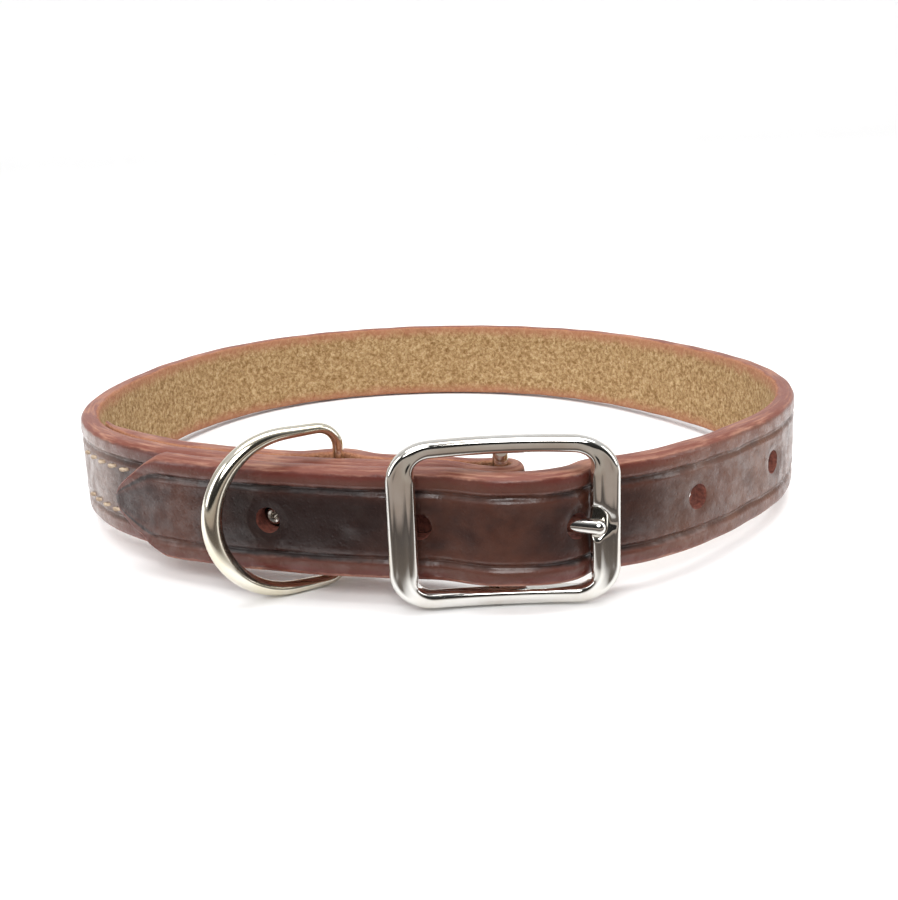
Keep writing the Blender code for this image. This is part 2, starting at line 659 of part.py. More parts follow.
def build():
    for old in list(bpy.data.objects):
        bpy.data.objects.remove(old)
    collection = bpy.data.collections.new('dog_collar')
    cutters = bpy.data.collections.new('dog_collar_cutters')
    bpy.context.scene.collection.children.link(collection)
    bpy.context.scene.collection.children.link(cutters)
    rest = bpy.data.objects.new('rest', None)
    collection.objects.link(rest)

    leather = strap(collection, rest)
    buckle_frame(collection, cutters, rest)
    prong(collection, cutters, rest)
    d_ring(collection, rest)
    rear = belt_travel(-HOLES_AFTER_PRONG * HOLE_PITCH)
    rivet('rivet_rear', rear, leather, collection, cutters, rest)
    rivet('rivet_front', -FRONT_RIVET_TRAVEL, leather, collection, cutters, rest)
    punch_holes(leather, cutters, rest)
    cut_slot(leather, cutters, rest)
    stand(collection, rest)


build()
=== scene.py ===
import math
import bpy
import numpy as np
from mathutils import Matrix, Vector


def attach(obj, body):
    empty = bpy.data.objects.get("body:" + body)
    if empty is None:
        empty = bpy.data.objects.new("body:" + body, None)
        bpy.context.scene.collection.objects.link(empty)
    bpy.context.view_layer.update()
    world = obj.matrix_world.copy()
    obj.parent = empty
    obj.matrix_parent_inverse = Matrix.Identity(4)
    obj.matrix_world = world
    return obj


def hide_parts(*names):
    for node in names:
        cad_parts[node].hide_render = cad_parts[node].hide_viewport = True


# A small leather dog collar, dressed around its CAD solids.
# Every shape is worked out on the level collar and then tilted to the way it rests.

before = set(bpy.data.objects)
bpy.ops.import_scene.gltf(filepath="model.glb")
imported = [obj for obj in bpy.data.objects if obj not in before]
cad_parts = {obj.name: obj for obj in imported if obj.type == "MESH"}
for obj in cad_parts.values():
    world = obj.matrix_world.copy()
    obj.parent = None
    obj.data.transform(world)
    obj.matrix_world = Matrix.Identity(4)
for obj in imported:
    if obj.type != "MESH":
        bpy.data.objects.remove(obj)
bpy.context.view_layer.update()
mm = 0.001


# Small helpers

def unit(vectors):
    return vectors / np.linalg.norm(vectors, axis=-1, keepdims=True)


def bell(value, width, power=2):
    return np.exp(-(value / width) ** power)


def powered(value, power):
    # keeps the sign and bends the size
    return np.sign(value) * np.abs(value) ** power


def circle(count):
    return np.linspace(0, 2 * np.pi, count, endpoint=False)


# Shape of the loop, as in the solids

loop = {
    "radius": 60.5 * mm,
    "waves": [(2, -0.012, 0.037), (3, -0.030, -0.001), (4, -0.006, 0.007), (5, 0.007, 0.005)],
    "barTurn": math.radians(9.4),
    "tilt": math.radians(1.61464),       # how far the front is lifted at rest
    "moved": (-0.0006355, 0.0021099, 0.0099296),
}


def loopRadius(turn):
    # radius plus a few waves of the turn
    radius = np.full_like(turn, loop["radius"])
    for waves, along, across in loop["waves"]:
        radius = radius + loop["radius"] * (along * np.cos(waves * turn) + across * np.sin(waves * turn))
    return radius


def loopTable():
    # distance along the loop for each turn, with zero at the centre bar
    turn = np.linspace(-3 * np.pi, 3 * np.pi, 12001)
    radius = loopRadius(turn)
    length = np.hypot(np.diff(radius * np.sin(turn)), np.diff(-radius * np.cos(turn)))
    length = np.concatenate([[0.0], np.cumsum(length)])
    return turn, length - np.interp(loop["barTurn"], turn, length)


loopTurns, loopTravel = loopTable()
loopLength = float(np.interp(np.pi, loopTurns, loopTravel) - np.interp(-np.pi, loopTurns, loopTravel))


def loopFrame(travel):
    # point on the loop with its unit vectors along and outwards
    travel = np.asarray(travel, dtype=float)
    turn = np.interp((travel + loopLength / 2) % loopLength - loopLength / 2, loopTravel, loopTurns)
    spots = [loopRadius(turn + d)[..., None] * np.stack([np.sin(turn + d), -np.cos(turn + d)], -1)
             for d in (-0.002, 0.0, 0.002)]
    along = unit(spots[2] - spots[0])
    return spots[1], along, np.stack([along[..., 1], -along[..., 0]], -1)


def loopFall(travel):
    # how far the loop curves back from its tangent at the centre bar
    middle, _, outward = loopFrame(0.0)
    return float((middle - loopFrame(travel)[0]) @ outward)


def stand(points):
    # level collar to the way it rests: turned about X, then moved
    points = np.asarray(points, dtype=float)
    c, s = math.cos(-loop["tilt"]), math.sin(-loop["tilt"])
    turned = np.stack([points[..., 0], c * points[..., 1] - s * points[..., 2],
                       s * points[..., 1] + c * points[..., 2]], -1)
    return turned + np.array(loop["moved"])


def onLoop(travel, out, height):
    # level point at a place along the loop, a distance outwards and a height
    middle, _, outward = loopFrame(travel)
    flat = middle + np.asarray(out)[..., None] * outward
    return np.concatenate([flat, np.broadcast_to(height, flat.shape[:-1])[..., None]], -1)


def ease(value, start, end):
    share = np.clip((np.asarray(value, dtype=float) - start) / (end - start), 0.0, 1.0)
    return share * share * (3.0 - 2.0 * share)


def through(rows, value):
    # smooth curve through the rows that never overshoots them
    x = np.array([row[0] for row in rows])
    y = np.array([row[1] for row in rows])
    slope = np.diff(y) / np.diff(x)
    tangent = np.zeros_like(y)
    same = slope[1:] * slope[:-1] > 0
    tangent[1:-1] = np.where(same, 2 * slope[1:] * slope[:-1] / np.where(same, slope[1:] + slope[:-1], 1.0), 0.0)
    value = np.clip(value, x[0], x[-1])
    cell = np.clip(np.searchsorted(x, value) - 1, 0, len(x) - 2)
    width = x[cell + 1] - x[cell]
    t = (value - x[cell]) / width
    return ((1 + 2 * t) * (1 - t) ** 2 * y[cell] + t * (1 - t) ** 2 * width * tangent[cell]
            + t * t * (3 - 2 * t) * y[cell + 1] + t * t * (t - 1) * width * tangent[cell + 1])


def ripple(x, y, seed, count=9, shortest=4 * mm, longest=22 * mm):
    # sum of plane waves in seeded directions, kept near -1 to 1
    rng = np.random.default_rng(seed)
    total = np.zeros(np.broadcast(x, y).shape)
    for _ in range(count):
        wave = 2 * np.pi / rng.uniform(shortest, longest)
        angle = rng.uniform(0, np.pi)
        total = total + np.sin(wave * (x * np.cos(angle) + y * np.sin(angle)) + rng.uniform(0, 2 * np.pi))
    return total / count ** 0.5 / 1.3


# Sizes shared by the leather and the metal

buckle = {
    "length": 31.8 * mm,
    "height": 23.4 * mm,
    "endBar": 4.1 * mm,
    "rail": 2.3 * mm,
    "depth": 2.6 * mm,
    "corner": 4.1 * mm,
    "railBow": 0.35 * mm,
    "frameBow": 1.4 * mm,
    "barRadius": 1.1 * mm,
    "barOut": 1.3 * mm,
    "standoff": 0.90 * mm,
    "lift": 0.6 * mm,
    "prongRadius": 1.1 * mm,
    "prongReach": 15.0 * mm,
}
strap = {
    "width": 16.0 * mm,
    "leather": 3.0 * mm,
    "foldLeather": 2.0 * mm,
    "skiveLeather": 0.8 * mm,
    "edgeRound": 1.1 * mm,
    "fleshRound": 0.6 * mm,
    "creaseInset": 3.1 * mm,
    "creaseWidth": 0.42 * mm,
    "creaseDepth": 0.34 * mm,
    "turnback": 76.0 * mm,
    "skive": 16.0 * mm,
    "tip": 8.6 * mm,
    "nose": 3.2 * mm,
    "tipTravel": 59.1 * mm,
    "gap": 0.3 * mm,
    "ringTravel": 24.1 * mm,
    "step": 0.75 * mm,
    "holePitch": 22.0 * mm,
    "holeDiameter": 3.8 * mm,
    "frontRivet": 18.8 * mm,
    "rivetHead": 6.4 * mm,
}
ring = {
    "wire": 1.5 * mm,
    "band": 2.2 * mm,
    "bowWire": 2.9 * mm,
    "bowBand": 3.2 * mm,
    "radius": 11.5 * mm,
    "leg": 8.0 * mm,
    "corner": 3.2 * mm,
    "swing": math.radians(44.2),
    "lift": 0.9 * mm,
}
half = buckle["length"] / 2
endBarAt = half - buckle["endBar"] / 2
endBarInner = endBarAt - buckle["endBar"] / 2
layerStep = strap["leather"] + strap["gap"]
foldMiddle = buckle["barRadius"] + strap["gap"] + strap["foldLeather"] / 2
foldOuter = foldMiddle + strap["foldLeather"] / 2
underBar = layerStep - 0.4 * strap["gap"]
barOut = layerStep + strap["leather"] / 2 + buckle["standoff"] + buckle["depth"] / 2 - loopFall(endBarInner)
railOut = barOut - buckle["frameBow"]
prongSlope = math.atan2(barOut - buckle["barOut"] + 0.3 * buckle["depth"], endBarInner)
prongHoleAt = 0.575 * buckle["prongReach"]
beltRows = [
    (-endBarInner, layerStep),
    (-0.60 * endBarAt, layerStep + 0.1 * strap["foldLeather"]),
    (-0.02 * endBarAt, buckle["barOut"] + foldOuter + strap["gap"] + strap["leather"] / 2),
    (0.32 * endBarAt, buckle["barOut"] + foldOuter + 2 * strap["gap"] + strap["leather"] / 2),
    (prongHoleAt, buckle["barOut"] + prongHoleAt * math.tan(prongSlope) + loopFall(prongHoleAt)),
    (endBarInner, underBar),
    (1.20 * endBarAt, underBar),
    (2.10 * endBarAt, 0.5 * layerStep),
    (3.20 * endBarAt, 0.0),
]


# Mesh helpers

def hang(name, data):
    made = bpy.data.objects.new(name, data)
    bpy.context.scene.collection.objects.link(made)
    return made


def meshObject(name, points, faces, uv=None, smooth=35):
    # one mesh in world metres, its object at the origin
    mesh = bpy.data.meshes.new(name)
    mesh.from_pydata(np.asarray(points).tolist(), [], [tuple(face) for face in faces])
    if uv is not None:
        layer = mesh.uv_layers.new(name="surface")
        layer.uv.foreach_set("vector", np.asarray(uv, dtype=np.float32).ravel())
    mesh.validate()
    mesh.shade_smooth()
    mesh.set_sharp_from_angle(angle=math.radians(smooth))
    return hang(name, mesh)


def gridFaces(rows, columns, rowLoop, columnLoop):
    # quads of a grid of rows by columns, as whole arrays
    r = np.arange(rows if rowLoop else rows - 1)[:, None]
    c = np.arange(columns if columnLoop else columns - 1)[None, :]
    a = r * columns + c
    b = r * columns + (c + 1) % columns
    d = ((r + 1) % rows) * columns + c
    e = ((r + 1) % rows) * columns + (c + 1) % columns
    return np.stack(np.broadcast_arrays(a, b, e, d), -1).reshape(-1, 4)


def standing(name, shape, smooth=35):
    return meshObject(name, stand(shape[0]), shape[1], smooth=smooth)


def outwardFaces(points, faces):
    # turns every face round if the closed surface's volume comes out negative
    volume = 0.0
    for size in (3, 4):
        picked = np.array([face for face in faces if len(face) == size])
        if len(picked):
            p = points[picked]
            volume += np.einsum("ij,ij->", p[:, 0], np.cross(p[:, 1], p[:, 2]))
            if size == 4:
                volume += np.einsum("ij,ij->", p[:, 0], np.cross(p[:, 2], p[:, 3]))
    return [tuple(face)[::-1] for face in faces] if volume < 0 else [tuple(face) for face in faces]


def tube(rings, closed):
    # skin over rings of the same count; open ends are closed by a fan to their middle
    count, around = rings.shape[:2]
    points = rings.reshape(-1, 3)
    faces = gridFaces(count, around, closed, True).tolist()
    if not closed:
        points = np.concatenate([points, rings[0].mean(0)[None], rings[-1].mean(0)[None]])
        first, last = len(points) - 2, len(points) - 1
        near = np.arange(around)
        beside = (near + 1) % around
        faces += np.stack([beside, near, np.full(around, first)], -1).tolist()
        base = (count - 1) * around
        faces += np.stack([base + near, base + beside, np.full(around, last)], -1).tolist()
    return points, outwardFaces(points, faces)


def pathTube(path, side, up, across, deep, closed):
    # a section with the given half widths is carried along a path with two unit vectors per point
    angle = circle(24)
    across = np.broadcast_to(across, len(path))[:, None, None]
    deep = np.broadcast_to(deep, len(path))[:, None, None]
    rings = (path[:, None] + side[:, None] * (np.cos(angle)[None, :, None] * across)
             + up[:, None] * (np.sin(angle)[None, :, None] * deep))
    return tube(rings, closed)


def turnedShape(profile, place, axis, sides=48):
    # profile rows of (radius, height) turned about an axis through a place
    axis = unit(np.asarray(axis, dtype=float))
    helper = np.array([0.0, 0.0, 1.0]) if abs(axis[2]) < 0.9 else np.array([1.0, 0.0, 0.0])
    x = unit(np.cross(helper, axis))
    y = np.cross(axis, x)
    angle = circle(sides)
    radial = np.cos(angle)[:, None] * x + np.sin(angle)[:, None] * y
    profile = np.asarray(profile, dtype=float)
    rings = (np.asarray(place) + profile[:, 0][:, None, None] * radial[None]
             + profile[:, 1][:, None, None] * axis)
    return tube(rings, False)


def merged(parts):
    # several point and face sets as one
    points, faces, start = [], [], 0
    for part, quads in parts:
        points.append(part)
        faces += [tuple(index + start for index in face) for face in quads]
        start += len(part)
    return np.concatenate(points), faces


# Leather strap

def foldLeather(travel):
    return strap["foldLeather"] + (strap["leather"] - strap["foldLeather"]) * ease(-travel, 0.3 * half, 0.9 * half)


def mainOut(travel):
    return (buckle["barOut"] + foldMiddle) * (1.0 - ease(-travel, 0.0, 0.5 * half))


def turnbackLeather(travel):
    skive = strap["skiveLeather"] + (strap["leather"] - strap["skiveLeather"]) * ease(
        strap["turnback"] + travel, 0.0, strap["skive"])
    return np.minimum(foldLeather(travel), skive)


def turnbackOut(travel):
    # against the middle layer, parted by the centre bar and by the ring's straight side
    slope = (mainOut(travel + 0.1 * mm) - mainOut(travel - 0.1 * mm)) / (0.2 * mm)
    touching = ((foldLeather(travel) + turnbackLeather(travel)) / 2 + strap["gap"]) * np.sqrt(1.0 + slope ** 2)
    nearBar = 1.0 - ease(-travel, 0.0, 0.36 * half)
    pocket = ring["band"] / 2 + strap["gap"]
    reach = np.clip(np.abs(travel + strap["ringTravel"]) / (4.6 * pocket), 0.0, 1.0)
    atRing = (2 * pocket - strap["gap"]) * np.cos(reach * np.pi / 2) ** 2
    return mainOut(travel) - touching - (2 * foldMiddle - touching) * nearBar - atRing


def beltPlace(distance):
    # travel of a point on the belt, by distance along it from the prong's hole
    travel = np.linspace(-strap["tipTravel"], 0.4 * loopLength, 6001)
    middle, _, outward = loopFrame(travel)
    line = middle + through(beltRows, travel)[:, None] * outward
    length = np.concatenate([[0.0], np.cumsum(np.hypot(*np.diff(line, axis=0).T))])
    return float(np.interp(distance, length - np.interp(prongHoleAt, travel, length), travel))


def strapStations():
    # path from the thin inner end round the centre bar, once round the loop, to the point
    step = strap["step"]
    inner = np.linspace(-strap["turnback"], 0.0, int(strap["turnback"] / step))[:-1]
    middle, _, outward = loopFrame(inner)
    place = [middle + turnbackOut(inner)[:, None] * outward]
    leather = [turnbackLeather(inner)]
    travel = [inner]

    middle, along, outward = loopFrame(0.0)
    angle = np.linspace(-np.pi / 2, np.pi / 2, 15)[:, None]
    centre = middle + buckle["barOut"] * outward
    place.append(centre + foldMiddle * (np.cos(angle) * along + np.sin(angle) * outward))
    leather.append(np.full(len(angle), strap["foldLeather"]))
    travel.append(np.zeros(len(angle)))

    whole = loopLength + strap["tipTravel"]
    outer = -np.linspace(0.0, whole, int(whole / step))[1:]
    belt = outer < -loopLength / 2
    spot = np.where(belt, outer + loopLength, outer)
    out = np.where(belt, through(beltRows, spot), mainOut(np.where(belt, -1.0, spot)))
    middle, _, outward = loopFrame(spot)
    place.append(middle + out[:, None] * outward)
    leather.append(np.where(belt, strap["leather"], foldLeather(np.where(belt, -1.0, spot))))
    travel.append(spot)
    layer = [np.zeros(len(inner)), np.ones(len(angle)), np.where(belt, 2.0, 1.0)]
    return tuple(np.concatenate(part) for part in (place, leather, travel, layer))


def sectionTable():
    # half outline from the grain side's middle to the flesh side's, as shares to be scaled later
    edge, grainRound, fleshRound = strap["width"] / 2, strap["edgeRound"], strap["fleshRound"]
    crease = edge - strap["creaseInset"]
    lengths = np.cumsum([edge - grainRound, np.pi / 2 * grainRound,
                         strap["leather"] - grainRound - fleshRound, np.pi / 2 * fleshRound, edge - fleshRound])
    stops = [0, crease - 0.9 * mm, crease + 0.9 * mm, *lengths]
    counts = (8, 13, 5, 8, 4, 6, 10)
    girth = np.concatenate([np.linspace(start, end, count)[:-1]
                            for start, end, count in zip(stops, stops[1:], counts)] + [lengths[-1:]])
    past = [np.clip(girth - start, 0.0, None) for start in (0, *lengths[:4])]
    zone = np.searchsorted(lengths[:4], girth, side="right")
    turn = past[1] / grainRound
    fleshTurn = past[3] / fleshRound
    down = np.clip(past[2] / (lengths[2] - lengths[1]), 0, 1)
    across = np.select([zone == 0, zone == 1, zone == 2, zone == 3],
                       [girth, edge - grainRound + grainRound * np.sin(turn), edge + 0.06 * mm * np.sin(np.pi * down),
                        edge - fleshRound + fleshRound * np.cos(fleshTurn)], edge - fleshRound - past[4])
    level = np.select([zone <= 1, zone == 2], [np.ones_like(girth), 1 - 2 * down], -1.0)
    rounding = np.select([zone == 0, zone == 1, zone == 2, zone == 3],
                         [0 * girth, -grainRound * (1 - np.cos(turn)), -grainRound + (grainRound + fleshRound) * down,
                          fleshRound * (1 - np.sin(fleshTurn))], 0 * girth)
    facing = np.select([zone == 0, zone == 1], [np.ones_like(girth), np.cos(turn)], 0.0)
    halves = ((across, -1), (level, 1), (rounding, 1), (facing, 1), (girth, -1))
    return tuple(np.concatenate([column, sign * column[::-1][1:-1]]) for column, sign in halves)


def runAt(spot, keep, travel, run):
    # distance along the strap of a place on the loop, within the kept layer
    order = np.argsort(travel[keep], kind="stable")
    return float(np.interp(spot, travel[keep][order], run[keep][order]))


def strapSurface():
    place, leather, travel, layer = strapStations()
    for _ in range(2):  # takes the corners out of the joints between the path's runs
        place[1:-1] = 0.25 * place[:-2] + 0.5 * place[1:-1] + 0.25 * place[2:]
    along = unit(np.gradient(place, axis=0))
    run = np.concatenate([[0.0], np.cumsum(np.linalg.norm(np.diff(place, axis=0), axis=1))])
    grain = np.stack([-along[:, 1], along[:, 0]], -1)

    across, level, rounding, facing, girth = sectionTable()
    edge = strap["width"] / 2
    belt = layer == 2
    fromNose = np.where(belt, travel + strap["tipTravel"], strap["tip"])
    share = np.clip(fromNose / strap["tip"], 0.0, 1.0)
    nose = strap["nose"] / 2
    halfWidth = nose + (edge - nose) * share ** 0.92
    halfWidth = halfWidth * (0.72 + 0.28 * np.sqrt(np.clip(fromNose / (0.12 * strap["tip"]), 0.0, 1.0)))
    cut = 0.35 + 0.65 * ease(share, 0.75, 1.0)                   # the cut point has crisper edges
    halfWidth = halfWidth + np.where(share < 1, 0, 0.06 * mm) * ripple(run, 0 * run, 5)

    nominal = np.abs(across)[None]
    roundEdge = strap["edgeRound"]
    insideEdge = edge - nominal
    faceWide = (halfWidth - roundEdge * cut)[:, None]
    x = np.where(nominal <= edge - roundEdge, nominal * faceWide / (edge - roundEdge),
                 halfWidth[:, None] - insideEdge * cut[:, None])
    x = np.maximum(x, 0.0)
    thin = (leather / strap["leather"])[:, None]
    y = leather[:, None] / 2 * level[None] + rounding[None] * thin * cut[:, None]
    signed = x * np.sign(across)[None]

    # creased lines, with the leather swollen a little on both sides of each
    wander = 0.10 * mm * ripple(run[:, None], np.sign(across)[None] * 0.05, 11, shortest=9 * mm, longest=40 * mm)
    creaseAt = edge - strap["creaseInset"]
    off = (x - creaseAt - wander) / strap["creaseWidth"]
    depth = strap["creaseDepth"] * (1 + 0.22 * ripple(run[:, None], signed, 12))
    relief = -depth * bell(off, 1) + 0.22 * depth * bell(np.abs(off) - 2.1, 0.9)
    relief += 0.10 * mm * bell(x - (creaseAt + edge) / 2, 0.85 * mm)
    relief += 0.10 * mm * (1 - np.clip(x / creaseAt, 0, 1) ** 2)
    relief += 0.055 * mm * ripple(run[:, None], signed, 13, count=14, shortest=2.5 * mm, longest=12 * mm)

    # dished rims of the punched holes, and the rivets under and in the leather
    def farFrom(spot, keep, up=0.0):
        return np.hypot(run[:, None] - runAt(spot, keep, travel, run), signed - up)

    for number in range(-2, 3):
        far = farFrom(beltPlace(number * strap["holePitch"]), belt)
        rim = np.clip(far - strap["holeDiameter"] / 2, 0.0, None)
        relief -= 0.26 * mm * bell(rim, 0.55 * mm)
        relief += 0.05 * mm * bell(rim - 1.3 * mm, 0.5 * mm)
    head = strap["rivetHead"]
    for rivetTravel in (beltPlace(-2 * strap["holePitch"]), -strap["frontRivet"]):
        for keep, sunk, start in ((layer == 1, 1.15 * mm, 0.52), (layer == 0, 0.85 * mm, 0.50)):
            relief -= sunk * (1 - ease(farFrom(rivetTravel, keep), start * head, 0.66 * head))
    relief += 0.30 * mm * bell(farFrom(-strap["frontRivet"] - 1 * mm, belt, 0.4 * mm), 1.5 * mm)
    y = y + relief * facing[None] * np.minimum(thin, 1.0)

    # the flesh side is a little uneven
    flesh = (level < 0)[None] * ease(edge - x, 0.0, 1.2 * mm)
    y = y + flesh * 0.05 * mm * ripple(run[:, None], signed, 14, count=16, shortest=1.6 * mm, longest=7 * mm)

    plan = place[:, None] + y[..., None] * grain[:, None]
    rings = np.concatenate([plan, signed[..., None]], -1)
    # a rounded end: the last rings shrink towards the middle of the nose
    ends = []
    for ahead, shrink in ((0.16, 0.90), (0.24, 0.72)):
        ring = rings[-1] + np.append(along[-1] * ahead * mm, 0.0)
        ends.append(ring.mean(0) + (ring - ring.mean(0)) * shrink)
    rings = np.concatenate([rings, np.array(ends)])
    run = np.concatenate([run, run[-1] + np.array([0.16, 0.24]) * mm])

    points, faces = tube(rings, False)
    uvByPoint = np.stack(np.broadcast_arrays(run[:, None], girth[None]), -1).reshape(-1, 2)
    uvByPoint = np.concatenate([uvByPoint, [[run[0], 0.0], [run[-1], 0.0]]])
    uv = []
    top = girth.max()
    for face in faces:
        spots = uvByPoint[list(face)]
        if spots[:, 1].max() - spots[:, 1].min() > top:      # the seam runs down the flesh side's middle
            spots[spots[:, 1] > 0, 1] -= 2 * top
        uv.append(spots)
    return stand(points), faces, np.concatenate(uv), run[:len(travel)], travel, layer


def cutterRod(radius, low, high, travel, out, axis, sides=48):
    # a rod about an axis given as shares along, outwards and up at a place on the loop
    _, along, outward = loopFrame(travel)
    way = np.append(along * axis[0] + outward * axis[1], axis[2])
    place = onLoop(np.array(travel), np.array(out), 0.0)
    return standing("cutter", turnedShape([(radius, low), (radius, high)], place, way, sides))


def makeStrap():
    points, faces, uv, run, travel, layer = strapSurface()
    made = meshObject("leatherStrap", points, faces, uv, smooth=42)
    belt, main = layer == 2, layer == 1
    rivet = beltPlace(-2 * strap["holePitch"]) + 4 * mm
    marks = (("rivet", rivet, belt), ("prong", prongHoleAt, belt), ("rightEnd", 75 * mm, belt),
             ("sheenStart", -58 * mm, main), ("sheenEnd", -150 * mm, main))
    runs = {name: runAt(spot, keep, travel, run) for name, spot, keep in marks}
    cutters = []
    for number in range(-2, 3):
        spot = beltPlace(number * strap["holePitch"])
        step = 0.2 * mm
        slope = float(through(beltRows, spot + step) - through(beltRows, spot - step)) / (2 * step)
        reach = strap["leather"] / 2 + 0.55 * mm
        out = float(through(beltRows, spot))
        cutters.append(cutterRod(strap["holeDiameter"] / 2, -reach, reach, spot, out, (-slope, 1.0, 0.0)))
    cutters.append(cutterRod(buckle["prongRadius"] + 0.25 * mm, 0.38 * buckle["prongReach"], buckle["prongReach"],
                             0.0, buckle["barOut"], (math.cos(prongSlope), math.sin(prongSlope), 0.0), 36))
    cutters.append(cutterRod(foldOuter + 0.15 * mm, -1.7 * mm, 1.7 * mm, 0.0, buckle["barOut"], (0, 0, 1), 64))
    return made, cutters, runs


def cutAndBake(made, cutters, look):
    # every cutter is taken out of the piece, and the result becomes its plain mesh
    for cutter in cutters:
        cutter.data.materials.append(look)
        modifier = made.modifiers.new("cut", "BOOLEAN")
        modifier.object = cutter
        modifier.operation = "DIFFERENCE"
        modifier.solver = "EXACT"
        modifier.material_mode = "TRANSFER"
    graph = bpy.context.evaluated_depsgraph_get()
    baked = bpy.data.meshes.new_from_object(made.evaluated_get(graph), preserve_all_data_layers=True, depsgraph=graph)
    made.modifiers.clear()
    old = made.data
    made.data = baked
    baked.name = made.name
    bpy.data.meshes.remove(old)
    for cutter in cutters:
        mesh = cutter.data
        bpy.data.objects.remove(cutter)
        bpy.data.meshes.remove(mesh)
    made.data.shade_smooth()
    made.data.set_sharp_from_angle(angle=math.radians(38))


# Metal pieces

metal = {
    "frameSteps": (72, 40, 26),     # rail, end bar, corner
    "seatFlare": 2.2 * mm,
    "seatSoft": 0.16 * mm,
    "channel": 0.32 * mm,           # shallow hollow along each end bar's face
    "earRadius": 0.88 * mm,
    "earInset": 0.7 * mm,           # ears' middle, in from the ends of the centre bar
    "eyeWall": 1.2 * mm,
    "eyeHalf": 1.3 * mm,
    # raised middle of the rear rivet, seen in the hole: radius and height over the cap
    "rivetMiddle": [(0.02, 0.62), (0.45, 0.55), (0.62, 1.30), (0.95, 1.42), (1.30, 1.15), (1.42, 0.4), (1.46, -0.12)],
}


def atBar(height):
    return onLoop(np.array(0.0), np.array(buckle["barOut"]), height)


def frameOutline():
    # rounded rectangle: middle line with its outward unit vector
    side, end, turn = metal["frameSteps"]
    a = endBarAt - buckle["corner"]
    b = buckle["height"] / 2 - buckle["rail"] / 2 - buckle["corner"]
    corners = [(a, b, 0.0), (-a, b, np.pi / 2), (-a, -b, np.pi), (a, -b, 1.5 * np.pi)]
    rows = []
    for index, (x, z, start) in enumerate(corners):
        after = corners[(index + 1) % 4]
        share = np.linspace(0, 1, (side if index % 2 == 0 else end) + 1)[1:-1]
        bend = start + np.linspace(0, np.pi / 2, turn + 1)
        straight = np.full_like(share, start + np.pi / 2)
        for angle, ahead in ((bend, 0 * bend), (straight, share)):
            c, d = np.cos(angle), np.sin(angle)
            rows.append(np.stack([x + (after[0] - x) * ahead + buckle["corner"] * c,
                                  z + (after[1] - z) * ahead + buckle["corner"] * d, c, d], -1))
    return np.concatenate(rows)


def softMin(a, b, soft):
    return 0.5 * (a + b - np.sqrt((a - b) ** 2 + soft ** 2))


def makeFrame():
    # a soft-cornered section carried round the outline; the end bar's seat is the lower of it and a trough
    along, up, sideX, sideZ = frameOutline().T
    angle = circle(72)
    across = powered(np.cos(angle), 0.62)
    deep = powered(np.sin(angle), np.where(np.sin(angle) > 0, 0.80, 0.55))
    outerHalf, innerHalf = [buckle["rail"] / 2 + (buckle["endBar"] - buckle["rail"]) / 2 * sideX ** power
                            for power in (2, 6)]
    wide = np.where(across[None] > 0, outerHalf[:, None], innerHalf[:, None])
    x = along[:, None] + sideX[:, None] * wide * across[None]
    z = up[:, None] + sideZ[:, None] * wide * across[None]
    bow = buckle["railBow"] * (1 - np.minimum(1.0, (x / half) ** 2)) * z / (buckle["height"] / 2)
    bend = railOut + buckle["frameBow"] * (along / endBarAt) ** 2
    out = bend[:, None] + deep[None] * buckle["depth"] / 2
    channel = bell(across[None] - 0.1, 0.42, 4) * (deep[None] > 0) * (sideX ** 4)[:, None]
    out = out - metal["channel"] * channel
    prongOut = buckle["barOut"] + x * math.tan(prongSlope)
    trough = prongOut - buckle["prongRadius"] / math.cos(prongSlope) - 0.1 * mm + z ** 2 / (2 * metal["seatFlare"])
    seat = (x > 0.7 * endBarAt) & (np.abs(z) < 0.35 * buckle["height"]) & (deep[None] > -0.5)
    scooped = np.maximum(softMin(out, trough, metal["seatSoft"]), bend[:, None] - 0.3 * buckle["depth"])
    out = np.where(seat, scooped, out)
    middle, right, front = loopFrame(0.0)
    plan = middle + x[..., None] * right + out[..., None] * front
    rings = np.concatenate([plan, (z + bow + buckle["lift"])[..., None]], -1)
    body = tube(rings, True)
    reach = buckle["height"] / 2 - buckle["rail"] / 2 + buckle["railBow"] / 2
    bar = turnedShape([(buckle["barRadius"], -reach), (buckle["barRadius"], reach)], atBar(buckle["lift"]),
                      (0, 0, 1), 32)
    # short ears carry the centre bar behind the rails
    radius = metal["earRadius"]
    profile = [(radius, -0.5 * buckle["barRadius"]), (radius, railOut - buckle["barOut"])]
    ears = [turnedShape(profile, atBar(side * (reach - metal["earInset"]) + buckle["lift"]), np.append(front, 0.0), 32)
            for side in (1, -1)]
    return standing("buckleFrame", merged([body, bar, *ears]), 50)


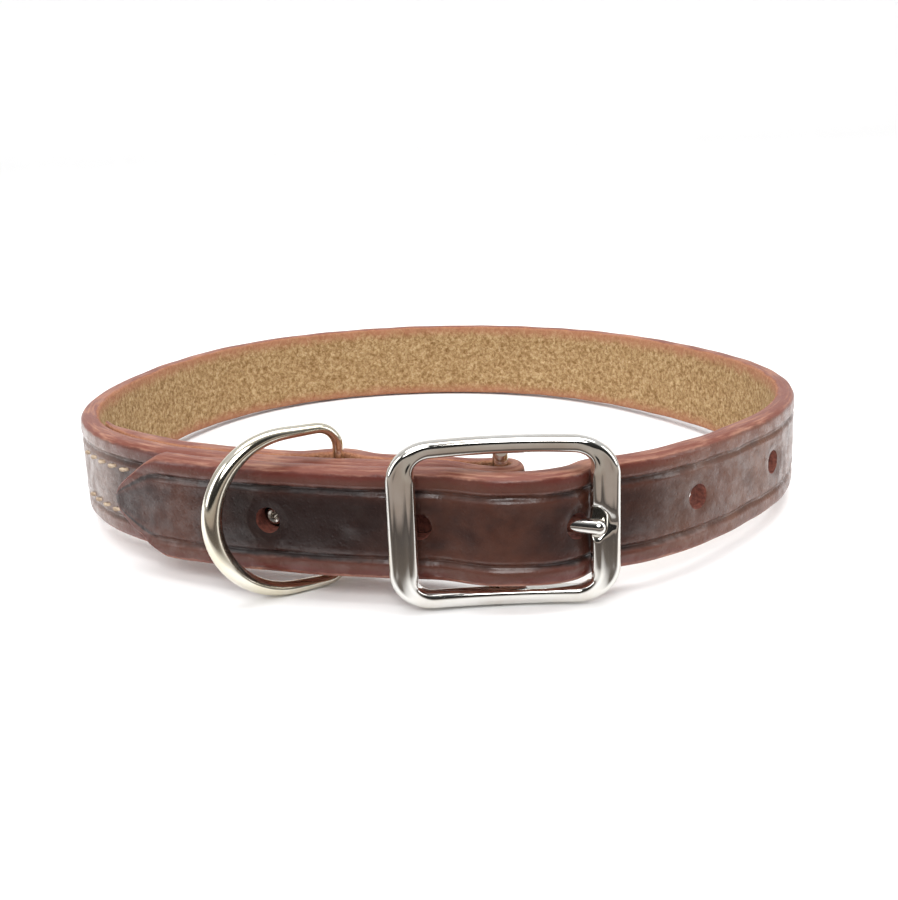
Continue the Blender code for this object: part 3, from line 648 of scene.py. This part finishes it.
def makeProng():
    # an eye round the centre bar and a round shank with a blunt, rounded end
    place = atBar(0.0)
    inner, wall = buckle["barRadius"] + strap["gap"], metal["eyeWall"]
    angle = circle(32)
    section = np.stack([inner + wall / 2 + wall / 2 * powered(np.cos(angle), 0.6),
                        metal["eyeHalf"] * powered(np.sin(angle), 0.6)], -1)
    turn = circle(64)
    rings = np.stack([place[0] + section[None, :, 0] * np.cos(turn)[:, None],
                      place[1] + section[None, :, 0] * np.sin(turn)[:, None],
                      place[2] + section[None, :, 1] + 0 * turn[:, None]], -1)
    eye = tube(rings, True)
    _, right, front = loopFrame(0.0)
    way = np.append(right * math.cos(prongSlope) + front * math.sin(prongSlope), 0.0)
    radius, reach = buckle["prongRadius"], buckle["prongReach"]
    turn = np.linspace(np.pi / 2, 0.0, 14)
    cap = np.stack([radius * np.cos(turn) ** 0.8, reach - radius + radius * np.sin(turn)], -1)
    profile = np.concatenate([cap, [[radius * 0.97, 0.6 * reach], [radius, inner + 0.4 * mm]]])
    shank = turnedShape(profile[::-1], place, way, 40)
    return standing("prong", merged([eye, shank]), 50)


def ringOutline():
    # D in its own plane: away from the straight side, and up
    leg, radius, corner = ring["leg"], ring["radius"], ring["corner"]
    low = radius - corner
    quarter = np.linspace(0, np.pi / 2, 18)
    bow = np.pi / 2 - np.linspace(0, np.pi, 74)
    straight = np.linspace(0, 1, 9)[1:-1, None]
    rise = np.linspace(-1, 1, 13)[1:-1]
    upper = np.stack([corner * (1 - np.cos(quarter)), low + corner * np.sin(quarter)], -1)
    top = upper[-1] + (np.array([leg, radius]) - upper[-1]) * straight
    arc = np.stack([leg + radius * np.cos(bow), radius * np.sin(bow)], -1)
    flip = np.array([1.0, -1.0])
    side = np.stack([0 * rise, low * rise], -1)
    return np.concatenate([side, upper, top, arc, top[::-1] * flip, upper[::-1] * flip])


def makeRing():
    flat = ringOutline()
    for _ in range(3):
        flat = 0.25 * np.roll(flat, 1, 0) + 0.5 * flat + 0.25 * np.roll(flat, -1, 0)
    tangent = unit(np.roll(flat, -1, 0) - np.roll(flat, 1, 0))
    outwards = np.stack([tangent[:, 1], -tangent[:, 0]], -1)
    middle, along, outward = loopFrame(-strap["ringTravel"])
    away = -along * math.cos(ring["swing"]) + outward * math.sin(ring["swing"])
    ringIn = strap["leather"] / 2 + ring["band"] / 2 + strap["gap"]
    hinge = np.append(middle - outward * ringIn, ring["lift"])
    x = np.append(away, 0.0)
    z = np.array([0.0, 0.0, 1.0])
    y = np.cross(z, x)
    path = hinge + flat[:, :1] * x + flat[:, 1:] * z
    side = outwards[:, :1] * x + outwards[:, 1:] * z
    up = np.broadcast_to(y, path.shape)
    # the wire thickens from its legs to the middle of the bow
    start = 0.3 * ring["leg"]
    share = np.clip((flat[:, 0] - start) / (ring["leg"] + ring["radius"] - start), 0.0, 1.0) ** 1.3
    across = ring["wire"] + (ring["bowWire"] - ring["wire"]) * share
    deep = ring["band"] + (ring["bowBand"] - ring["band"]) * share
    return standing("dRing", pathTube(path, side, up, across / 2, deep / 2, True), 60)


def makeRivet(name, travel):
    # two shallow domes on one shank
    head, shank, cap = strap["rivetHead"] / 2, 1.2 * mm, 1.0 * mm
    frontFace = float(mainOut(travel) + foldLeather(travel) / 2)
    backFace = float(turnbackOut(np.array(travel)) - turnbackLeather(np.array(travel)) / 2)
    front = frontFace - 0.15 * mm
    back = backFace + 0.55 * mm - cap
    turn = np.linspace(0, np.pi / 2, 12)
    dome = np.stack([head * np.sin(turn) ** 0.75, cap * np.cos(turn)], -1)
    outer = dome * [1, 1] + [0, front - cap]
    inner = dome * [1, -1] + [0, back + cap]
    profile = np.concatenate([outer, [[shank, front - cap], [shank, back + cap]], inner[::-1]])
    profile[0, 0] = profile[-1, 0] = 0.02 * mm
    if name == "rivetRear":
        profile = np.concatenate([np.array(metal["rivetMiddle"]) * mm + [0.0, front], profile[5:]])
    place = onLoop(np.array(travel), np.array(0.0), 0.0)
    _, _, outward = loopFrame(travel)
    return standing(name, turnedShape(profile, place, np.append(outward, 0.0)), 40)


# Stitches

stitch = {
    "rows": (3.5 * mm, -3.7 * mm),
    "first": -75.2 * mm,
    "pitch": 3.5 * mm,
    "count": 5,
    "length": 3.1 * mm,
    "thread": 0.34 * mm,
    "slant": 0.28 * mm,
}


def makeStitches():
    # each stitch is a short thread that rises from one hole and sinks into the next
    parts = []
    share = np.linspace(-1, 1, 21)
    for side in (1.0, -1.0):
        for row in stitch["rows"]:
            for number in range(stitch["count"]):
                centre = stitch["first"] + number * stitch["pitch"]
                travel = centre + share * stitch["length"] / 2
                if side > 0:
                    face = mainOut(travel) + foldLeather(travel) / 2
                else:
                    face = turnbackOut(travel) - turnbackLeather(travel) / 2
                lift = side * (stitch["thread"] * 0.75 - (np.abs(share) ** 3) * 0.9 * mm)
                path = onLoop(travel, face + lift, row + stitch["slant"] * share)
                normal = np.concatenate([loopFrame(travel)[2], 0 * travel[:, None]], -1)
                tangent = unit(np.gradient(path, axis=0))
                across = np.cross(tangent, normal)
                angle = circle(12)[None]
                thick = stitch["thread"] * (1 - 0.35 * share[:, None] ** 4)
                thick = thick * (1 + 0.10 * np.cos(2 * angle + 9 * share[:, None]))
                rings = (path[:, None] + across[:, None] * (np.cos(angle) * thick)[..., None]
                         + np.cross(across, tangent)[:, None] * (np.sin(angle) * thick * 0.8)[..., None])
                parts.append(tube(rings, False))
    return standing("stitches", merged(parts), 60)


# Node helpers

def put(tree, kind, inputs=None, **settings):
    # a node with its settings and inputs; an input may be a value or another node's socket
    node = tree.nodes.new(kind)
    for key, value in settings.items():
        setattr(node, key, value)
    for key, value in (inputs or {}).items():
        if isinstance(value, bpy.types.NodeSocket):
            tree.links.new(value, node.inputs[key])
        else:
            node.inputs[key].default_value = value
    return node


def feed(tree, node, sources):
    for name, socket in sources.items():
        tree.links.new(socket, node.inputs[name])


def bump(tree, shader, height, strength, distance):
    node = put(tree, "ShaderNodeBump", {"Height": height, "Strength": strength, "Distance": distance})
    feed(tree, shader, {"Normal": node.outputs["Normal"]})


def maths(tree, operation, first, second=0.0, third=0.0):
    return put(tree, "ShaderNodeMath", {0: first, 1: second, 2: third}, operation=operation).outputs[0]


def times(tree, first, second):
    return maths(tree, "MULTIPLY", first, second)


def span(tree, value, low, high, toLow=0.0, toHigh=1.0):
    # smooth step between two values
    return put(tree, "ShaderNodeMapRange", {"Value": value, "From Min": low, "From Max": high,
                                            "To Min": toLow, "To Max": toHigh},
               interpolation_type="SMOOTHSTEP").outputs["Result"]


def mixColour(tree, share, first, second, blend="MIX"):
    first, second = [(*colour, 1.0) if isinstance(colour, tuple) else colour for colour in (first, second)]
    return put(tree, "ShaderNodeMix", {0: share, 6: first, 7: second},
               data_type="RGBA", blend_type=blend).outputs[2]


def ramp(tree, value, stops):
    node = put(tree, "ShaderNodeValToRGB", {0: value})
    elements = node.color_ramp.elements
    for index, (place, colour) in enumerate(stops):
        element = elements[index] if index < 2 else elements.new(place)
        element.position = place
        element.color = (*colour, 1.0)
    return node.outputs["Color"]


def noise(tree, vector, scale, detail=4.0, rough=0.6, distortion=0.0):
    return put(tree, "ShaderNodeTexNoise", {"Vector": vector, "Scale": scale, "Detail": detail, "Roughness": rough,
                                            "Distortion": distortion}).outputs["Fac"]


def newGroup(name, inputs, outputs):
    # a group with a vector input, inputs with a value, and value outputs
    group = bpy.data.node_groups.new(name, "ShaderNodeTree")
    group.interface.new_socket("Vector", in_out="INPUT", socket_type="NodeSocketVector")
    for label, value in inputs.items():
        socket = group.interface.new_socket(label, in_out="INPUT", socket_type="NodeSocketFloat")
        socket.default_value = value
    for label in outputs:
        group.interface.new_socket(label, in_out="OUTPUT", socket_type="NodeSocketFloat")
    return group, group.nodes.new("NodeGroupInput"), group.nodes.new("NodeGroupOutput")


def useGroup(tree, group, inputs):
    return put(tree, "ShaderNodeGroup", inputs, node_tree=group)


def newMaterial(name, roughness, metallic=0.0):
    made = bpy.data.materials.new(name)
    made.use_nodes = True
    shader = made.node_tree.nodes["Principled BSDF"]
    shader.inputs["Roughness"].default_value = roughness
    shader.inputs["Metallic"].default_value = metallic
    return made, made.node_tree, shader, put(made.node_tree, "ShaderNodeTexCoord").outputs["Object"]


def fibreGroup():
    # raw leather: short matted fibres, paler and darker clumps, and their height
    group, came, out = newGroup("rawFibres", {"Size": 1.0}, ("Clumps", "Strands", "Height"))
    scaled = put(group, "ShaderNodeVectorMath", {0: came.outputs["Vector"]}, operation="SCALE")
    group.links.new(came.outputs["Size"], scaled.inputs["Scale"])
    vector = scaled.outputs[0]
    warp = put(group, "ShaderNodeTexNoise", {"Vector": vector, "Scale": 900.0, "Detail": 2.0}).outputs["Color"]
    moved = put(group, "ShaderNodeVectorMath", {0: warp, 1: (0.0011, 0.0011, 0.0011), 2: vector},
                operation="MULTIPLY_ADD").outputs[0]
    clumps = noise(group, moved, 1150.0, 5.0, 0.66)
    strands = put(group, "ShaderNodeTexVoronoi", {"Vector": moved, "Scale": 2100.0, "Randomness": 1.0},
                  feature="F1", distance="CHEBYCHEV").outputs["Distance"]
    fine = noise(group, moved, 2600.0, 3.0, 0.7)
    height = maths(group, "ADD", clumps, times(group, fine, 0.5))
    height = maths(group, "MULTIPLY_ADD", strands, -0.5, height)
    feed(group, out, {"Clumps": clumps, "Strands": strands, "Height": height})
    return group


def handlingGroup():
    # nickel in use: a faint haze and hair scratches
    group, came, out = newGroup("handling", {"Haze": 0.1}, ("Roughness", "Tint", "Height"))
    vector = came.outputs["Vector"]
    haze = noise(group, vector, 190.0, 4.0, 0.6)
    stretched = put(group, "ShaderNodeVectorMath", {0: vector, 1: (1.0, 1.0, 0.06)}, operation="MULTIPLY").outputs[0]
    scratch = span(group, noise(group, stretched, 5200.0, 2.0, 0.5), 0.60, 0.72)
    rough = maths(group, "MULTIPLY_ADD", haze, came.outputs["Haze"], times(group, scratch, 0.04))
    height = maths(group, "MULTIPLY_ADD", scratch, -0.3, noise(group, vector, 60.0, 2.0))
    feed(group, out, {"Roughness": rough, "Tint": haze, "Height": height})
    return group


rawFibres = fibreGroup()
handling = handlingGroup()
print("node groups made")

leatherLook = {
    "centre": (0.024, 0.0080, 0.0060),
    "nearCrease": (0.052, 0.0165, 0.0110),
    "crease": (0.012, 0.0040, 0.0032),
    "rib": (0.090, 0.030, 0.021),
    "outside": (0.095, 0.020, 0.014),
    "edge": (0.175, 0.052, 0.034),
    "edgePale": (0.400, 0.205, 0.140),
    "flesh": (0.370, 0.235, 0.106),
    "fleshDark": (0.165, 0.078, 0.026),
    "fleshPale": (0.600, 0.440, 0.245),
    "fleshDye": (0.380, 0.150, 0.088),
    # painted sheen: a lighter brown standing in for grazing reflections on the belt's right part
    "sheenBrown": (0.165, 0.066, 0.034),
    # painted sheen: a pale mauve-grey standing in for grazing reflections of the bright wall by the stitches
    "paleSheen": (0.220, 0.150, 0.125),
    "dark": (0.010, 0.0035, 0.0030),
    "brown": (0.080, 0.026, 0.014),
}


def strapMaterial(runs):
    # UV is the run along the strap and the girth round its section, both in metres
    look = leatherLook
    made, tree, shader, where = newMaterial("burgundyLeather", 0.4)
    uv = put(tree, "ShaderNodeUVMap", uv_map="surface").outputs["UV"]
    split = put(tree, "ShaderNodeSeparateXYZ", {0: uv})
    run, girth = split.outputs["X"], maths(tree, "ABSOLUTE", split.outputs["Y"])
    broad = noise(tree, where, 95.0, 3.0)
    drawnOut = put(tree, "ShaderNodeVectorMath", {0: uv, 1: (0.10, 1.0, 1.0)}, operation="MULTIPLY").outputs[0]
    streak = noise(tree, drawnOut, 1500.0, 4.0, 0.65)
    wavy = maths(tree, "MULTIPLY_ADD", maths(tree, "SUBTRACT", noise(tree, where, 420.0, 3.0), 0.5), 0.9 * mm, girth)
    share = maths(tree, "DIVIDE", wavy, 8 * mm)
    grainColour = ramp(tree, share, [(0.0, look["centre"]), (1.0, look["outside"]), (0.36, look["centre"]),
                                     (0.52, look["nearCrease"]), (0.585, look["crease"]), (0.64, look["crease"]),
                                     (0.69, look["rib"]), (0.78, look["rib"]), (0.85, look["outside"])])
    # painted sheen: a lighter, browner patch towards the free holes, and a paler stretch at the stitches, both
    # standing in for grazing reflections of the bright room
    rightSheen = times(tree, span(tree, run, runs["rightEnd"] - 60 * mm, runs["rightEnd"] + 20 * mm),
                 span(tree, run, runs["prong"] - 4 * mm, runs["prong"] - 30 * mm))
    rightSheen = times(tree, rightSheen, span(tree, noise(tree, where, 150.0, 5.0, 0.7), 0.25, 0.75, 0.35, 1.0))
    grainColour = mixColour(tree, times(tree, rightSheen, 0.85), grainColour, look["sheenBrown"])
    # painted sheen at the stitches: the main layer's left face turns pale mauve-grey, in streaks
    paleSheen = times(tree, span(tree, run, runs["sheenStart"], runs["sheenStart"] + 12 * mm),
                  span(tree, run, runs["sheenEnd"], runs["sheenEnd"] - 30 * mm))
    paleSheen = times(tree, paleSheen, span(tree, streak, 0.2, 0.8, 0.5, 0.9))
    grainColour = mixColour(tree, paleSheen, grainColour, look["paleSheen"])
    rubbed = span(tree, noise(tree, where, 900.0, 6.0, 0.75), 0.60, 0.72)
    grainColour = mixColour(tree, times(tree, rubbed, 0.10), grainColour, look["edge"])

    warmth = span(tree, noise(tree, where, 62.0, 4.0, 0.6), 0.45, 0.68, 0.0, 0.8)
    grainColour = mixColour(tree, warmth, grainColour, look["brown"])
    nearRivet = span(tree, maths(tree, "ABSOLUTE", maths(tree, "SUBTRACT", run, runs["rivet"])), 22 * mm, 8 * mm)
    onBelt = span(tree, run, runs["rightEnd"], runs["rightEnd"] + 1 * mm)
    shade = times(tree, times(tree, nearRivet, onBelt), span(tree, girth, 6 * mm, 3.5 * mm))
    grainColour = mixColour(tree, times(tree, shade, 0.7), grainColour, look["dark"])

    edgeTone = span(tree, maths(tree, "MULTIPLY_ADD", broad, 0.5, streak), 0.66, 1.0)
    edgeColour = mixColour(tree, edgeTone, look["edge"], look["edgePale"])
    edgeColour = mixColour(tree, span(tree, broad, 0.55, 0.75, 0.0, 0.35), edgeColour, look["fleshDye"])
    edgeMask = span(tree, wavy, 7.15 * mm, 7.60 * mm)

    fibres = useGroup(tree, rawFibres, {"Vector": where, "Size": 1.0})
    fleshColour = ramp(tree, fibres.outputs["Clumps"], [(0.30, look["fleshDark"]), (0.72, look["fleshPale"]),
                                                        (0.50, look["flesh"])])
    fleshColour = mixColour(tree, span(tree, fibres.outputs["Strands"], 0.35, 0.8, 0.0, 0.55), fleshColour,
                            look["fleshDark"])
    dyed = span(tree, maths(tree, "MULTIPLY_ADD", maths(tree, "SUBTRACT", noise(tree, where, 260.0, 4.0), 0.5),
                            2.6 * mm, girth), 13.2 * mm, 10.4 * mm)
    fleshColour = mixColour(tree, times(tree, dyed, 0.75), fleshColour, look["fleshDye"])
    fleshMask = span(tree, wavy, 9.9 * mm, 10.6 * mm)

    colour = mixColour(tree, edgeMask, grainColour, edgeColour)
    colour = mixColour(tree, fleshMask, colour, fleshColour)

    grainRough = span(tree, noise(tree, where, 330.0, 5.0, 0.7), 0.3, 0.7, 0.30, 0.48)
    edgeRough = span(tree, edgeTone, 0.0, 1.0, 0.42, 0.60)
    rough = put(tree, "ShaderNodeMix", {0: edgeMask, 2: grainRough, 3: edgeRough}).outputs[0]
    rough = put(tree, "ShaderNodeMix", {0: fleshMask, 2: rough, 3: 0.92}).outputs[0]

    pores = put(tree, "ShaderNodeTexVoronoi", {"Vector": where, "Scale": 1350.0}, feature="F1").outputs["Distance"]
    height = maths(tree, "MULTIPLY_ADD", span(tree, pores, 0.0, 0.45), 0.30, noise(tree, where, 760.0, 6.0, 0.65))
    edgeHeight = times(tree, streak, 1.6)
    fleshHeight = times(tree, fibres.outputs["Height"], 3.2)
    height = put(tree, "ShaderNodeMix", {0: edgeMask, 2: height, 3: edgeHeight}).outputs[0]
    height = put(tree, "ShaderNodeMix", {0: fleshMask, 2: height, 3: fleshHeight}).outputs[0]
    bump(tree, shader, height, 0.75, 0.14 * mm)
    # a waxed gloss on the grain side, worn through in spots
    gloss = span(tree, noise(tree, where, 420.0, 6.0, 0.75), 0.40, 0.60, 0.05, 0.55)
    gloss = times(tree, gloss, maths(tree, "SUBTRACT", 1.0, edgeMask))
    feed(tree, shader, {"Base Color": colour, "Roughness": rough, "Coat Weight": gloss})
    shader.inputs["Coat Roughness"].default_value = 0.14
    shader.inputs["Specular IOR Level"].default_value = 0.30
    return made


def boreMaterial():
    # raw cut leather inside the holes: salmon and fibrous
    made, tree, shader, where = newMaterial("boreLeather", 0.8)
    fibres = useGroup(tree, rawFibres, {"Vector": where, "Size": 1.3})
    colour = ramp(tree, fibres.outputs["Clumps"], [(0.3, (0.075, 0.018, 0.012)), (0.7, (0.26, 0.080, 0.052))])
    feed(tree, shader, {"Base Color": colour})
    bump(tree, shader, fibres.outputs["Height"], 0.7, 0.12 * mm)
    return made


def nickelMaterial(name, colour, warm, base, haze):
    made, tree, shader, where = newMaterial(name, base, 1.0)
    used = useGroup(tree, handling, {"Vector": where, "Haze": haze})
    tint = mixColour(tree, span(tree, used.outputs["Tint"], 0.35, 0.7), colour, warm)
    feed(tree, shader, {"Base Color": tint, "Roughness": maths(tree, "ADD", used.outputs["Roughness"], base)})
    bump(tree, shader, used.outputs["Height"], 0.12, 0.05 * mm)
    return made


def threadMaterial():
    # pale twisted thread
    made, tree, shader, where = newMaterial("paleThread", 0.75)
    wave = put(tree, "ShaderNodeTexWave", {"Vector": where, "Scale": 520.0, "Distortion": 2.0, "Detail": 2.0},
               wave_type="BANDS", bands_direction="DIAGONAL").outputs["Fac"]
    colour = mixColour(tree, wave, (0.30, 0.21, 0.14), (0.50, 0.39, 0.28))
    feed(tree, shader, {"Base Color": colour})
    bump(tree, shader, wave, 0.5, 0.1 * mm)
    return made


# Pieces

leatherStrap, cutters, runs = makeStrap()
print("strap surface made:", {key: round(value, 4) for key, value in runs.items()})
leatherStrap.data.materials.append(strapMaterial(runs))
cutAndBake(leatherStrap, cutters, boreMaterial())
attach(leatherStrap, "body")
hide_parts("strap")
print("strap:", len(leatherStrap.data.polygons), "faces")

frameNickel = nickelMaterial("frameNickel", (0.74, 0.73, 0.70), (0.66, 0.63, 0.58), 0.04, 0.09)
prongNickel = nickelMaterial("prongNickel", (0.80, 0.79, 0.76), (0.74, 0.71, 0.66), 0.05, 0.09)
ringNickel = nickelMaterial("ringNickel", (0.80, 0.76, 0.66), (0.70, 0.65, 0.52), 0.06, 0.12)
rivetNickel = nickelMaterial("rivetNickel", (0.60, 0.58, 0.55), (0.42, 0.38, 0.34), 0.14, 0.20)
for piece, look, body, node, slot in (
        (makeFrame(), frameNickel, "body", "buckle_frame", "bright_nickel"),
        (makeProng(), prongNickel, "body", "prong", "prong_nickel"),
        (makeRing(), ringNickel, "ring", "d_ring", "ring_nickel"),
        (makeRivet("rivetRear", beltPlace(-2 * strap["holePitch"])), rivetNickel, "body",
         "rivet_rear", "rivet_rear_nickel"),
        (makeRivet("rivetFront", -strap["frontRivet"]), rivetNickel, "body", "rivet_front", "rivet_front_nickel")):
    piece.data.materials.append(look)
    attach(piece, body)
    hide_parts(node)
stitches = makeStitches()
stitches.data.materials.append(threadMaterial())
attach(stitches, "body")
print("metal and stitches made")

# Camera, floor and light

view = {
    "focal": 1150.0,                       # in pixels of an image 898 wide
    "pitch": 0.2664,
    "roll": 0.0387,
    "spot": (2.73 * mm, -212.33 * mm, 51.70 * mm),
}


def makeCamera():
    # looks along +Y, pitched down and rolled, then tilted with the collar
    p, r = view["pitch"], view["roll"]
    right0 = Vector((1, 0, 0))
    up0 = Vector((0, math.sin(p), math.cos(p)))
    forward = Vector((0, math.cos(p), -math.sin(p)))
    right = right0 * math.cos(r) - up0 * math.sin(r)
    up = right0 * math.sin(r) + up0 * math.cos(r)
    turn = Matrix((right, up, -forward)).transposed()
    tilt = Matrix.Rotation(-loop["tilt"], 3, "X")
    data = bpy.data.cameras.new("camera")
    data.sensor_width = 36.0
    data.sensor_fit = "HORIZONTAL"
    data.lens = 36.0 * view["focal"] / 898.0
    data.clip_start = 0.01
    camera = hang("camera", data)
    spot = stand(np.array(view["spot"]))
    camera.matrix_world = Matrix.Translation(Vector(spot)) @ (tilt @ turn).to_4x4()
    bpy.context.scene.camera = camera


def makeFloor():
    # a floor that curves up into a wall behind, one smooth strip
    back, radius, top = 1.6, 0.8, 2.2
    turn = np.linspace(0, np.pi / 2, 24)
    y = np.concatenate([[-2.6, 0.0], back + radius * np.sin(turn), [back + radius]])
    z = np.concatenate([[0.0, 0.0], radius * (1 - np.cos(turn)), [top]]) - 0.00005
    x = np.array([-3.0, 3.0])
    points = np.stack(np.broadcast_arrays(x[None], y[:, None], z[:, None]), -1).reshape(-1, 3)
    floor = meshObject("floor", points, gridFaces(len(y), 2, False, False))
    made, tree, shader, where = newMaterial("paleFloor", 0.9)
    y = put(tree, "ShaderNodeSeparateXYZ", {0: where}).outputs["Y"]
    # painted reflection: only glossy rays see these dark bands on the floor in front of the collar, standing in for
    # dark surroundings by the camera for the nickel to mirror
    paintedReflection = ramp(tree, maths(tree, "MULTIPLY_ADD", y, -5.0, 0.0),
                [(0.0, (0.93, 0.93, 0.93)), (1.0, (0.30, 0.27, 0.24)), (0.34, (0.93, 0.93, 0.93)),
                 (0.40, (0.10, 0.085, 0.075)), (0.50, (0.05, 0.042, 0.038)), (0.56, (0.24, 0.20, 0.175))])
    colour = mixColour(tree, put(tree, "ShaderNodeLightPath").outputs["Is Glossy Ray"], (0.93, 0.93, 0.93), paintedReflection)
    feed(tree, shader, {"Base Color": colour})
    shader.inputs["Specular IOR Level"].default_value = 0.1
    floor.data.materials.append(made)


def areaLight(name, spot, aim, size, power):
    data = bpy.data.lights.new(name, "AREA")
    data.shape = "RECTANGLE"
    data.size, data.size_y = size
    data.energy = power
    lamp = hang(name, data)
    lamp.location = spot
    lamp.rotation_euler = (Vector(aim) - Vector(spot)).to_track_quat("-Z", "Y").to_euler()


def sunLight(name, way, spread, strength):
    data = bpy.data.lights.new(name, "SUN")
    data.energy = strength
    data.angle = math.radians(spread)
    lamp = hang(name, data)
    lamp.rotation_euler = Vector(way).to_track_quat("-Z", "Y").to_euler()


def makeWorld():
    # a pale room, darker behind the camera, so that the nickel has something to mirror
    world = bpy.data.worlds.new("studio")
    world.use_nodes = True
    tree = world.node_tree
    tree.nodes.clear()
    where = put(tree, "ShaderNodeTexCoord").outputs["Generated"]
    split = put(tree, "ShaderNodeSeparateXYZ", {0: where})
    x, y, z = split.outputs["X"], split.outputs["Y"], split.outputs["Z"]
    shade = ramp(tree, z, [(0.0, (0.42, 0.41, 0.40)), (1.0, (1.0, 1.0, 1.0)), (0.30, (0.62, 0.61, 0.60))])
    dark = span(tree, y, -0.10, -0.62, 1.0, 0.06)
    bright = span(tree, maths(tree, "ABSOLUTE", x), 0.60, 0.90, 0.0, 0.6)
    lift = maths(tree, "MAXIMUM", dark, bright)
    shade = mixColour(tree, 1.0, shade, lift, "MULTIPLY")
    background = put(tree, "ShaderNodeBackground", {"Color": shade, "Strength": 0.85})
    put(tree, "ShaderNodeOutputWorld", {"Surface": background.outputs[0]})
    bpy.context.scene.world = world


makeCamera()
makeFloor()
sunLight("key", (0.12, 0.72, -0.70), 35, 2.0)
for name, spot, aimHeight, size, power in (
        ("top", (0.0, 0.05, 0.80), 0.0, (1.0, 0.35), 5.0),
        ("left", (-0.80, -0.30, 0.40), 0.02, (0.35, 0.7), 2.2),
        ("right", (0.85, -0.15, 0.40), 0.02, (0.35, 0.7), 2.2)):
    areaLight(name, spot, (0.0, 0.0, aimHeight), size, power)
makeWorld()
bpy.context.scene.view_settings.view_transform = "Standard"
print("camera, floor and light made")
